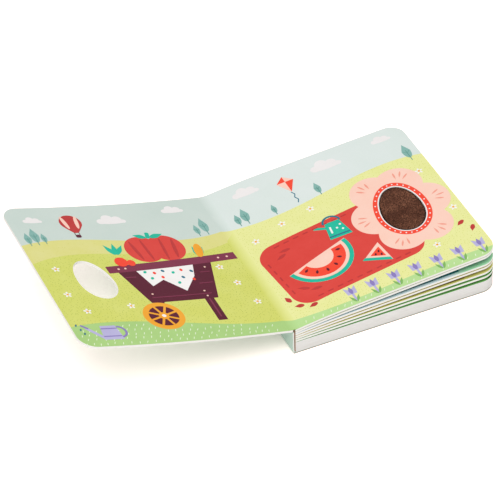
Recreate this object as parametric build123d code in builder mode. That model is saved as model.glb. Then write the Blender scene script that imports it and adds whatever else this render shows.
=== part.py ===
# Touch-and-feel board book, open at its first spread.
#
# The thick closed base lies on its back.  Six board leaves are bound to it along the
# spine and fan open towards the fore-edge.  The front cover is hinged at the gutter and
# stands a little above the level, with an egg-shaped window cut through it.  A pile
# patch lies in an egg-shaped recess of the first leaf.
#
# Millimetres.  Origin: centre of the back's underside.  +X runs from the spine to the
# fore-edge, +Y from the foot of the pages to their head, +Z up.

import os
from math import asin, atan2, cos, degrees, pi, radians, sin, sqrt

from build123d import *

os.makedirs("parts", exist_ok=True)

# Driving dimensions: pages and base
page_width = 180.0
page_height = 182.0
leaf_thickness = 2.05
leaf_count = 6
spine_pitch = 2.2
glue_width = 1.5
corner_radius = 14.0
base_thickness = 10.6
back_thickness = 1.0

# Driving dimensions: how the leaves spring open
fore_edge_gaps = (2.9, 2.2, 4.0, 0.8, 6.3, 0.3)
bend_reach = 26.0
top_leaf_slope = 0.16

# Driving dimensions: front cover, hinge and spine panel
cover_overhang = 2.0
cover_thickness = 2.05
cover_rise = 16.3
cover_bow = 2.3
fold_radius = 0.9
fold_clearance = 0.2
hinge_offset = 0.6
face_gap = 0.3
spine_hollow = 1.2
spine_panel_thickness = 1.0
panel_clearance = 2.7
wrap_inner_radius = 0.5

# Driving dimensions: egg-shaped patch and window
egg_from_fore_edge = 45.4
egg_from_foot = 80.1
egg_half_width = 18.1
egg_blunt_length = 24.1
egg_point_length = 31.7
egg_lean = 7.0
window_inset = 3.2
window_shift = 2.4
recess_depth = 1.0
patch_thickness = 0.85
patch_clearance = 0.15

# Driving dimensions: printed lining
print_thickness = 0.1
print_lift = 0.03
print_margin = 0.4

# Driving dimensions: garden barrow on the left page, from the gutter and the foot
barrow_place = (-73.0, 74.0)
tray_top_width = 86.0
tray_floor_width = 58.0
tray_height = 48.0
leg_width = 8.0
leg_length = 36.0
rim_length = 116.0
rim_width = 9.0
rim_turn = 3.0
wheel_place = (-99.0, 33.0)
wheel_radius = 17.0
cloth_width = 54.0
cloth_drop = 36.0
pumpkin_place = (-70.0, 119.0)
pumpkin_lobe_width = 32.0
pumpkin_lobe_height = 34.0
pumpkin_lobe_spacing = 20.0

# Driving dimensions: picnic and flowers on the right page, from the gutter and the foot
blanket_from_gutter = 10.0
blanket_from_foot = 24.0
blanket_length = 122.0
blanket_width = 78.0
blanket_corner_radius = 16.0
blanket_turn = 6.0
melon_place = (40.0, 42.0)
melon_radius = 30.0
melon_turn = 18.0
wedge_place = (84.0, 20.0)
wedge_width = 24.0
wedge_height = 21.0
wedge_turn = -24.0
jug_from_blanket_start = 68.0
jug_from_blanket_head = 14.0
jug_width = 20.0
jug_height = 20.0
jug_side_angle = 80.0
spout_length = 15.0
flower_rise = 4.0
flower_ring_width = 5.0
petal_count = 6
petal_radius = 20.0
petals_across = 46.0
petals_along = 64.0
tulip_count = 7
tulip_start = 56.0
tulip_margin = 10.0
tulip_width = 10.0
tulip_height = 9.0
stalk_width = 2.0
stalk_height = 12.0

# Levels and places worked out from the driving dimensions
spine_x = -page_width / 2
foot_y = -page_height / 2
block_bottom = back_thickness
block_top = block_bottom + base_thickness
stack_top = block_top + leaf_count * spine_pitch
hinge_x = spine_x - hinge_offset
hinge_z = stack_top + face_gap
cover_width = page_width + cover_overhang
egg_from_gutter = page_width - egg_from_fore_edge
print_top = print_lift + print_thickness
wedge_side = sqrt(wedge_height**2 + wedge_width**2 / 4)


def leaf_profile(number, height):
    """Line at a height above a leaf's upper face, for leaves counted from 1 at the base.

    The leaf leaves the spine at a slope, turns through one arc whose tangents meet at
    the bend, and runs straight from the arc's end to the fore-edge.
    """
    root_z = block_top + number * spine_pitch
    tip_z = block_top + number * leaf_thickness + sum(fore_edge_gaps[:number])
    slope = top_leaf_slope * number / leaf_count
    start = Vector(spine_x, root_z + height)
    bend = start + Vector(bend_reach, bend_reach * slope)
    tip = Vector(spine_x + sqrt(page_width**2 - (tip_z - root_z) ** 2), tip_z + height)
    arc_end = bend + (tip - bend).normalized() * (bend - start).length
    return start, bend, arc_end, tip


def leaf_band(number, low, high):
    """Section between two copies of a leaf's upper face, low and high above it."""
    with BuildSketch(Plane.XZ) as section:
        with BuildLine():
            for height in (low, high):
                start, bend, arc_end, tip = leaf_profile(number, height)
                TangentArc(start, arc_end, tangent=bend - start)
                Line(arc_end, tip)
            rise = Vector(0, high - low)
            Line(start, start - rise)
            Line(tip, tip - rise)
        make_face()
    return section.sketch


def egg(plane, grow, lean):
    """Egg outline about its widest place, its point towards the head, leaning by lean."""
    across = egg_half_width + grow
    blunt = egg_blunt_length + grow
    point = egg_point_length + grow
    with BuildSketch(plane) as outline:
        with BuildLine():
            EllipticalCenterArc((0, 0), across, point, 0, arc_size=180, rotation=lean)
            EllipticalCenterArc((0, 0), across, blunt, 180, arc_size=180, rotation=lean)
        make_face()
    return outline.sketch


# The cover's inner face is an arc, hollow side up, from the hinge to its fore-edge
cover_chord = sqrt(cover_width**2 - 16 * cover_bow**2 / 3)
arc_radius = (cover_chord**2 / 4 + cover_bow**2) / (2 * cover_bow)
half_arc = degrees(asin(cover_chord / 2 / arc_radius))
cover_along = (cos(radians(cover_rise)), 0, -sin(radians(cover_rise)))
cover_up = (sin(radians(cover_rise)), 0, cos(radians(cover_rise)))
cover_start = Vector(hinge_x, 0, hinge_z) - Vector(*cover_up) * face_gap
cover_section = Plane(origin=cover_start, x_dir=cover_along, z_dir=(0, -1, 0))
arc_centre = (-cover_chord / 2, arc_radius - cover_bow)


def cover_band(low, high, start, end):
    """Section between two depths below the cover's inner face, over a stretch of the arc."""
    first = 270 + half_arc - degrees(start / arc_radius)
    last = 270 + half_arc - degrees(end / arc_radius)
    with BuildSketch(cover_section) as section:
        with BuildLine():
            outer = CenterArc(arc_centre, arc_radius + high, first, last - first)
            inner = CenterArc(arc_centre, arc_radius + low, first, last - first)
            Line(outer @ 0, inner @ 0)
            Line(outer @ 1, inner @ 1)
        make_face()
    return section.sketch


def cover_place(distance):
    """Point and slope, in degrees, of the cover's inner face at a distance along it."""
    turned = degrees(distance / arc_radius)
    angle = radians(270 + half_arc - turned)
    local = (arc_centre[0] + arc_radius * cos(angle), arc_centre[1] + arc_radius * sin(angle))
    return cover_section.from_local_coords(local), cover_rise - half_arc + turned


# Planes of the two eggs: x to the right, y to the head, z out of the page
_, _, straight_start, leaf_tip = leaf_profile(leaf_count, 0)
leaf_along = (leaf_tip - straight_start).normalized()
patch_point = leaf_tip - leaf_along * (page_width - egg_from_gutter)
patch_plane = Plane(
    origin=(patch_point.X, foot_y + egg_from_foot, patch_point.Y),
    x_dir=(leaf_along.X, 0, leaf_along.Y),
    z_dir=(-leaf_along.Y, 0, leaf_along.X),
)
window_point, window_slope = cover_place(egg_from_gutter + window_shift)
window_plane = Plane(
    origin=(window_point.X, foot_y + egg_from_foot, window_point.Z),
    x_dir=(cos(radians(window_slope)), 0, -sin(radians(window_slope))),
    z_dir=(sin(radians(window_slope)), 0, cos(radians(window_slope))),
)

# Planes on which the print is drawn: x from the gutter, y from the foot
right_slope = atan2(leaf_tip.Y - stack_top, leaf_tip.X - spine_x)
right_page = Plane(
    origin=(spine_x, foot_y, stack_top),
    x_dir=(cos(right_slope), 0, sin(right_slope)),
    z_dir=(-sin(right_slope), 0, cos(right_slope)),
)
left_page = Plane(
    origin=cover_start + Vector(0, foot_y, 0),
    x_dir=cover_along,
    z_dir=cover_up,
)

# How far the drawn outlines cut to either side of those planes, past the pages' curve
cut_depth = page_width / 10

# Base: the thick closed block under the leaves
with BuildPart() as base_block:
    with BuildSketch(Plane.XY.offset(block_bottom)):
        Rectangle(page_width, page_height)
    extrude(amount=base_thickness)
    fillet(base_block.edges().filter_by(Axis.Z).group_by(Axis.X)[-1], corner_radius)
base_block.part.label = "base_block"

# Outer wrap: one folded card that is the back and the hollow spine's panel
panel_outer = spine_x - spine_hollow - spine_panel_thickness
panel_top = stack_top - panel_clearance
with BuildPart() as cover_wrap:
    with BuildSketch(Plane.XZ):
        with Locations((panel_outer, 0)):
            Rectangle(page_width / 2 - panel_outer, back_thickness, align=(Align.MIN, Align.MIN))
            Rectangle(spine_panel_thickness, panel_top, align=(Align.MIN, Align.MIN))
        inner_corner = (panel_outer + spine_panel_thickness, back_thickness)
        outer_radius = wrap_inner_radius + spine_panel_thickness
        fillet(vertices().sort_by_distance(inner_corner)[0], wrap_inner_radius)
        fillet(vertices().sort_by_distance((panel_outer, 0))[0], outer_radius)
    extrude(amount=page_height / 2, both=True)
    fillet(cover_wrap.edges().filter_by(Axis.Z).group_by(Axis.X)[-1], corner_radius)
cover_wrap.part.label = "cover_wrap"

# Pages: six leaves glued along the spine, with the first spread's fold at the hinge
with BuildPart() as page_block:
    for number in range(1, leaf_count + 1):
        extrude(leaf_band(number, -leaf_thickness, 0), amount=page_height / 2, both=True)
    fore_edges = page_block.edges().filter_by(Axis.Z).filter_by_position(Axis.X, 0, page_width)
    fillet(fore_edges, corner_radius)
    with BuildSketch(Plane.XZ):
        with Locations((spine_x, block_top)):
            Rectangle(glue_width, stack_top - block_top, align=(Align.MIN, Align.MIN))
        with Locations((hinge_x, hinge_z)):
            Circle(fold_radius)
        with Locations((hinge_x, stack_top)):
            above = 3 * fold_radius
            Rectangle(above, above, align=(Align.CENTER, Align.MIN), mode=Mode.SUBTRACT)
    extrude(amount=page_height / 2, both=True)
    extrude(egg(patch_plane, 0, -egg_lean), amount=recess_depth, both=True, mode=Mode.SUBTRACT)
page_block.part.label = "page_block"

# Pile patch in the recess of the first leaf
with BuildPart() as pile_patch:
    extrude(
        egg(patch_plane.offset(-recess_depth), -patch_clearance, -egg_lean),
        amount=patch_thickness,
    )
pile_patch.part.label = "pile_patch"

# Front cover: a bowed leaf with rounded fore-edge corners and the egg window
with BuildPart() as front_cover:
    extrude(
        cover_band(0, cover_thickness, fold_radius + fold_clearance, cover_width),
        amount=page_height / 2,
        both=True,
    )
    straight_edges = front_cover.edges().filter_by(GeomType.LINE)
    fillet(straight_edges.filter_by(Axis.Y, reverse=True).group_by(Axis.X)[0], corner_radius)
    extrude(
        egg(window_plane, -window_inset, egg_lean),
        amount=2 * cover_thickness,
        both=True,
        mode=Mode.SUBTRACT,
    )
front_cover.part.label = "front_cover"


def page_outline(plane, reach):
    """Outline of an open page: square at the gutter and rounded at the fore-edge."""
    with BuildSketch(plane) as outline:
        with Locations((reach / 2, page_height / 2)):
            Rectangle(abs(reach), page_height)
        fillet(outline.vertices().sort_by(lambda corner: abs(corner.X))[-2:], corner_radius)
    return outline.sketch


# Printed lining of each open page, as a thin layer that follows the leaf's curve
with BuildPart() as left_lining:
    extrude(
        cover_band(-print_top, -print_lift, fold_radius + fold_clearance, cover_width),
        amount=page_height / 2,
        both=True,
    )
    extrude(page_outline(left_page, -cover_chord), cut_depth, both=True, mode=Mode.INTERSECT)
    extrude(
        egg(window_plane, print_margin - window_inset, egg_lean),
        amount=2 * cover_thickness,
        both=True,
        mode=Mode.SUBTRACT,
    )
with BuildPart() as right_lining:
    extrude(leaf_band(leaf_count, print_lift, print_top), amount=page_height / 2, both=True)
    extrude(page_outline(right_page, page_width), cut_depth, both=True, mode=Mode.INTERSECT)
    extrude(
        egg(patch_plane, print_margin, -egg_lean),
        amount=recess_depth,
        both=True,
        mode=Mode.SUBTRACT,
    )


def ground(plane, lower, upper):
    """Field of colour between two drawn lines that run across the page."""
    with BuildSketch(plane) as area:
        with BuildLine():
            low = Spline(*lower)
            high = Spline(*upper)
            Line(low @ 0, high @ 0)
            Line(low @ 1, high @ 1)
        make_face()
    return area.sketch


# Fields of the left page, drawn past its trimmed edges
left_edge = -cover_width
below_foot = -corner_radius
above_head = page_height + corner_radius
left_foot = [(left_edge, below_foot), (0, below_foot)]
left_grass_line = [(left_edge, 25), (-120, 28), (-60, 18), (0, 13)]
left_meadow_line = [(left_edge, 106), (-120, 117), (-60, 110), (0, 121)]
left_horizon = [(left_edge, 131), (-130, 137), (-65, 129), (0, 135)]
left_head = [(left_edge, above_head), (0, above_head)]
left_grass = ground(left_page, left_foot, left_grass_line)
left_meadow = ground(left_page, left_grass_line, left_meadow_line)
left_hill = ground(left_page, left_meadow_line, left_horizon)
left_sky = ground(left_page, left_horizon, left_head)

# Fields of the right page
right_start = -corner_radius
right_edge = page_width + corner_radius
right_foot = [(right_start, below_foot), (right_edge, below_foot)]
right_grass_line = [(right_start, 14), (50, 6), (110, 8), (right_edge, 5)]
right_horizon = [(right_start, 138), (50, 128), (120, 139), (right_edge, 132)]
right_head = [(right_start, above_head), (right_edge, above_head)]
right_grass = ground(right_page, right_foot, right_grass_line)
right_meadow = ground(right_page, right_grass_line, right_horizon)
right_sky = ground(right_page, right_horizon, right_head)

# Left page: a garden barrow with a cloth over its side and a pumpkin in it
barrow_x, barrow_y = barrow_place
tray_top = barrow_y + tray_height / 2
tray_floor = barrow_y - tray_height / 2
leg_x = barrow_x + tray_floor_width / 2 - leg_width
with BuildSketch(left_page) as barrow_tray:
    with BuildLine():
        tray_corners = [
            (barrow_x - tray_top_width / 2, tray_top),
            (barrow_x - tray_floor_width / 2, tray_floor),
            (barrow_x + tray_floor_width / 2, tray_floor),
            (barrow_x + tray_top_width / 2, tray_top),
        ]
        Polyline(*tray_corners, close=True)
    make_face()
    with Locations((leg_x, tray_floor + leg_width - leg_length / 2)):
        Rectangle(leg_width, leg_length)
    with BuildLine():
        stay_foot = Vector(*wheel_place)
        stay_top = Vector(barrow_x - tray_floor_width / 4, tray_floor + leg_width)
        Polyline(stay_foot, stay_top, stay_top - (leg_width, 0), stay_foot - (leg_width, 0), close=True)
    make_face()
with BuildSketch(left_page) as barrow_rim:
    with Locations((barrow_x + rim_width, tray_top)):
        Rectangle(rim_length, rim_width, rotation=rim_turn)
with BuildSketch(left_page) as barrow_wheel:
    with Locations(wheel_place):
        Circle(wheel_radius)
with BuildSketch(left_page) as barrow_cloth:
    with BuildLine():
        hem = ((-0.5, 0), (-0.35, 0.75), (-0.13, 0.55), (0.13, 1), (0.39, 0.5), (0.5, 0))
        corners = [(barrow_x + cloth_width * x, tray_top - cloth_drop * y) for x, y in hem]
        Polyline(*corners, close=True)
    make_face()
with BuildSketch(left_page) as pumpkin:
    for side in (-1, 1):
        with Locations((pumpkin_place[0] + side * pumpkin_lobe_spacing / 2, pumpkin_place[1])):
            Ellipse(pumpkin_lobe_width / 2, pumpkin_lobe_height / 2)

# Right page: a picnic blanket with melons and a jug, a row of tulips, and one big flower
blanket_head = blanket_from_foot + blanket_width
with BuildSketch(right_page) as blanket:
    blanket_middle = (
        blanket_from_gutter + blanket_length / 2,
        blanket_from_foot + blanket_width / 2,
    )
    with Locations(blanket_middle):
        RectangleRounded(blanket_length, blanket_width, blanket_corner_radius, blanket_turn)
with BuildSketch(right_page) as melon:
    with BuildLine():
        melon_middle = (blanket_from_gutter + melon_place[0], blanket_from_foot + melon_place[1])
        rind = CenterArc(melon_middle, melon_radius, 180 + melon_turn, 180)
        Line(rind @ 0, rind @ 1)
    make_face()
    with Locations((blanket_from_gutter + wedge_place[0], blanket_from_foot + wedge_place[1])):
        Triangle(a=wedge_width, b=wedge_side, c=wedge_side, rotation=wedge_turn)
jug_x = blanket_from_gutter + jug_from_blanket_start
jug_y = blanket_head - jug_from_blanket_head
with BuildSketch(right_page) as jug:
    with Locations((jug_x, jug_y)):
        Trapezoid(jug_width, jug_height, jug_side_angle)
    with BuildLine():
        lip = (jug_x - jug_width / 2 - spout_length / 2, jug_y + spout_length / 2)
        neck = (jug_x - jug_width / 4, jug_y + jug_height / 4)
        Polyline((jug_x, jug_y), lip, (lip[0] + 3, lip[1] + 2), neck, close=True)
    make_face()
flower_place = (egg_from_gutter, egg_from_foot + flower_rise)
with BuildSketch(right_page) as flower:
    for number in range(petal_count):
        turn = 2 * pi * number / petal_count
        petal_x = flower_place[0] + petals_across / 2 * cos(turn)
        petal_y = flower_place[1] + petals_along / 2 * sin(turn)
        with Locations((petal_x, petal_y)):
            Circle(petal_radius)
    with Locations(flower_place):
        Ellipse(petals_across / 2, petals_along / 2)
flower_ring = egg(patch_plane, flower_ring_width, -egg_lean)
tulip_spacing = (page_width - tulip_margin - tulip_start) / (tulip_count - 1)
with BuildSketch(right_page) as tulips:
    for number in range(tulip_count):
        x = tulip_start + tulip_spacing * number
        cup_top = stalk_height + tulip_height
        notch = stalk_height + tulip_height / 2
        with BuildLine():
            Polyline(
                (x - tulip_width / 2, cup_top),
                (x, notch),
                (x + tulip_width / 2, cup_top),
                (x + 2 * tulip_width / 5, stalk_height),
                (x - 2 * tulip_width / 5, stalk_height),
                close=True,
            )
        make_face()
        with Locations((x, stalk_height)):
            Rectangle(stalk_width, 3 * stalk_height / 4, align=(Align.CENTER, Align.MAX))

# Each printed colour: its page, its outline, and the outlines printed over it
left_motif = [barrow_tray.sketch, barrow_rim.sketch, barrow_wheel.sketch, pumpkin.sketch]
over_tray = [barrow_rim.sketch, barrow_wheel.sketch, barrow_cloth.sketch]
right_motif = [blanket.sketch, flower.sketch, tulips.sketch]
over_blanket = [melon.sketch, jug.sketch, flower.sketch, tulips.sketch]
prints = [
    ("left_sky_print", left_lining, left_sky, left_motif),
    ("left_hill_print", left_lining, left_hill, left_motif),
    ("left_meadow_print", left_lining, left_meadow, left_motif),
    ("left_grass_print", left_lining, left_grass, left_motif),
    ("pumpkin_print", left_lining, pumpkin.sketch, [barrow_rim.sketch]),
    ("barrow_tray_print", left_lining, barrow_tray.sketch, over_tray),
    ("barrow_cloth_print", left_lining, barrow_cloth.sketch, [barrow_rim.sketch]),
    ("barrow_rim_print", left_lining, barrow_rim.sketch, []),
    ("barrow_wheel_print", left_lining, barrow_wheel.sketch, []),
    ("right_sky_print", right_lining, right_sky, right_motif),
    ("right_meadow_print", right_lining, right_meadow, right_motif),
    ("right_grass_print", right_lining, right_grass, right_motif),
    ("blanket_print", right_lining, blanket.sketch, over_blanket),
    ("melon_print", right_lining, melon.sketch, [jug.sketch, flower.sketch]),
    ("jug_print", right_lining, jug.sketch, [flower.sketch]),
    ("flower_print", right_lining, flower.sketch, [flower_ring]),
    ("flower_ring_print", right_lining, flower_ring, []),
    ("tulip_print", right_lining, tulips.sketch, []),
]
pieces = [base_block, cover_wrap, page_block, pile_patch, front_cover]
for label, lining, outline, overprints in prints:
    with BuildPart() as printed:
        add(lining.part)
        extrude(outline, amount=cut_depth, both=True, mode=Mode.INTERSECT)
        for overprint in overprints:
            extrude(overprint, amount=cut_depth, both=True, mode=Mode.SUBTRACT)
    printed.part.label = label
    pieces.append(printed)

for piece in pieces:
    export_step(piece.part, f"parts/{piece.part.label}.step")
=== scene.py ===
"""Looks of an open touch-and-feel board book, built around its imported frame.

Metres.  Origin: centre of the back's underside.  +X runs from the spine to the
fore-edge, +Y from the foot of the pages to their head, +Z up.  Sizes of the book are
given in millimetres and turned to metres by mm().
"""

import logging
import math
import random
from collections.abc import Callable, Iterable, Sequence
from dataclasses import dataclass, replace
from enum import Enum

import bpy
from mathutils import Matrix, Vector


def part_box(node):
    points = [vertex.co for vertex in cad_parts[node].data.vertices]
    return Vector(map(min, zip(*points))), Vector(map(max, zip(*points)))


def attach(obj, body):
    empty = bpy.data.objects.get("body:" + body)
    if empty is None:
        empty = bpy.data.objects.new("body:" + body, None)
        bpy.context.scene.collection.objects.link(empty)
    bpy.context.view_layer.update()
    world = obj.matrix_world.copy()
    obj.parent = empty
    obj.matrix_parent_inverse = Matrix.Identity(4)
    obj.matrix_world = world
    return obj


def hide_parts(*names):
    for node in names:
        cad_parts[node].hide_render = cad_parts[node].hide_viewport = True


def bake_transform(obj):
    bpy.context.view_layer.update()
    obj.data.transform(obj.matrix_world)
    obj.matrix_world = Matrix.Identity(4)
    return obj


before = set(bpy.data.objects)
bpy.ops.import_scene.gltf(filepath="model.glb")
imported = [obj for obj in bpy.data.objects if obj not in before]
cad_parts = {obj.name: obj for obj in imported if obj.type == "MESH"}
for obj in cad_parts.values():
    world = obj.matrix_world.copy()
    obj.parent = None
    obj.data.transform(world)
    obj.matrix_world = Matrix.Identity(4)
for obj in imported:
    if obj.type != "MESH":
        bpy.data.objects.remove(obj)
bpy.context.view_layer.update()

log = logging.getLogger("book")

Colour = tuple[float, float, float, float]
Point = tuple[float, float]
Triple = tuple[float, float, float]
Stroke = tuple[float, float, float, float, float]
Piece = bpy.types.Object
Tree = bpy.types.NodeTree
Socket = bpy.types.NodeSocket

MM_PER_METRE = 1000
TOUCHING = 1e-7


class Body(Enum):
    """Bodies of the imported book."""

    BOOK = "book_body"
    COVER = "cover_body"


def mm(value: float) -> float:
    """Turn millimetres into metres."""
    return value / MM_PER_METRE


def linear(code: str) -> Colour:
    """Turn an sRGB hex colour into linear values.

    Args:
        code: Six hex digits.

    Returns:
        Red, green, blue and an alpha of one.
    """
    shares = [int(code[place:place + 2], 16) / 255 for place in (0, 2, 4)]
    red, green, blue = (
        share / 12.92 if share <= 0.04045 else ((share + 0.055) / 1.055) ** 2.4
        for share in shares
    )
    return red, green, blue, 1.0


def deselect() -> None:
    """Leave object mode with nothing selected."""
    if bpy.context.object and bpy.context.object.mode != "OBJECT":
        bpy.ops.object.mode_set(mode="OBJECT")
    for item in bpy.context.selected_objects:
        item.select_set(False)


def pick(piece: Piece) -> None:
    """Select one object alone and make it active.

    Args:
        piece: The object.
    """
    deselect()
    piece.select_set(True)
    bpy.context.view_layer.objects.active = piece


def choose(piece: Piece, kind: str, test: Callable[..., bool]) -> None:
    """Enter edit mode with only those parts of a mesh selected that pass a test.

    Args:
        piece: Mesh object.
        kind: VERT or EDGE.
        test: Takes the place of a vertex, or of both ends of an edge.
    """
    pick(piece)
    bpy.ops.object.mode_set(mode="EDIT")
    bpy.ops.mesh.select_mode(type=kind)
    bpy.ops.mesh.select_all(action="DESELECT")
    bpy.ops.object.mode_set(mode="OBJECT")
    mesh = piece.data
    if kind == "VERT":
        for vertex in mesh.vertices:
            vertex.select = test(vertex.co)
    else:
        for edge in mesh.edges:
            edge.select = test(*(mesh.vertices[number].co for number in edge.vertices))
    bpy.ops.object.mode_set(mode="EDIT")


def apply_place(piece: Piece) -> None:
    """Put an object's place, turn and scale into its mesh."""
    pick(piece)
    bpy.ops.object.transform_apply(location=True, rotation=True, scale=True)


def apply_modifiers(piece: Piece) -> None:
    """Apply all modifiers of a piece, from the first.

    Args:
        piece: The piece.
    """
    pick(piece)
    for name in [modifier.name for modifier in piece.modifiers]:
        bpy.ops.object.modifier_apply(modifier=name)


def join(pieces: list[Piece], name: str) -> Piece:
    """Join pieces into one.

    Args:
        pieces: Objects to join.
        name: Name of the joined piece.

    Returns:
        The joined piece.
    """
    pick(pieces[0])
    for piece in pieces[1:]:
        piece.select_set(True)
    if len(pieces) > 1:
        bpy.ops.object.join()
    pieces[0].name = name
    return pieces[0]


def cut_across(piece: Piece, places: Iterable[float]) -> None:
    """Cut a mesh through, so that it can bend there.

    Args:
        piece: Mesh object.
        places: Where it is cut, along x.
    """
    pick(piece)
    bpy.ops.object.mode_set(mode="EDIT")
    for place in places:
        bpy.ops.mesh.select_all(action="SELECT")
        bpy.ops.mesh.bisect(plane_co=(place, 0, 0), plane_no=(1, 0, 0))
    bpy.ops.object.mode_set(mode="OBJECT")


def thicken(piece: Piece, thickness: float, offset: float = -1) -> None:
    """Give a flat piece a thickness.

    Args:
        piece: The flat piece.
        thickness: How thick it becomes.
        offset: -1 where it grows downwards, and 0 where it grows both ways.
    """
    solid = piece.modifiers.new("thickness", "SOLIDIFY")
    solid.thickness = thickness
    solid.offset = offset
    apply_modifiers(piece)


def ease_edges(piece: Piece, width: float, sharper: float = 30) -> None:
    """Round the edges of a piece a little.

    Args:
        piece: The piece.
        width: How far the rounding reaches.
        sharper: Angle in degrees that an edge has to be sharper than.
    """
    rim = piece.modifiers.new("rim", "BEVEL")
    rim.width = width
    rim.segments = 2
    rim.limit_method = "ANGLE"
    rim.angle_limit = math.radians(sharper)
    apply_modifiers(piece)


def shade_smooth(piece: Piece, sharper: float) -> None:
    """Shade a piece smooth, apart from edges sharper than an angle in degrees."""
    pick(piece)
    bpy.ops.object.shade_smooth_by_angle(angle=math.radians(sharper))


def add_node(
    tree: Tree, kind: str, settings: dict | None = None, links: dict | None = None
) -> bpy.types.Node:
    """Add a shader node.

    Args:
        tree: Node tree that gets the node.
        kind: Type name of the node.
        settings: Values by name of a socket or property, or by a socket's number.
        links: Output sockets by name or number of the input that they feed.

    Returns:
        The new node.
    """
    node = tree.nodes.new(kind)
    properties = {
        name: value
        for name, value in (settings or {}).items()
        if isinstance(name, str) and name in node.bl_rna.properties
    }
    for name, value in properties.items():
        setattr(node, name, value)
    for name, value in (settings or {}).items():
        if name not in properties:
            node.inputs[name].default_value = value
    for name, output in (links or {}).items():
        tree.links.new(output, node.inputs[name])
    return node


def new_material(name: str) -> tuple[bpy.types.Material, Tree]:
    """Make an empty node material.

    Args:
        name: Name of the material.

    Returns:
        The material and its tree.
    """
    material = bpy.data.materials.new(name)
    material.use_nodes = True
    material.node_tree.nodes.clear()
    return material, material.node_tree


def lay_colours(tree: Tree, ground: str, layers: list[tuple[Socket, str]]) -> Socket:
    """Lay colours over one another.

    Args:
        tree: Node tree of the material.
        ground: Hex colour at the bottom.
        layers: From below, an output that is 1 where a colour covers, and its hex colour.

    Returns:
        The colour that is seen.
    """
    share, low, high, result = 0, 6, 7, 2
    links: dict = {}
    for cover, code in layers:
        settings = {"data_type": "RGBA", low: linear(ground), high: linear(code)}
        links[share] = cover
        links[low] = add_node(tree, "ShaderNodeMix", settings, links).outputs[result]
    return links[low]


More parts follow.
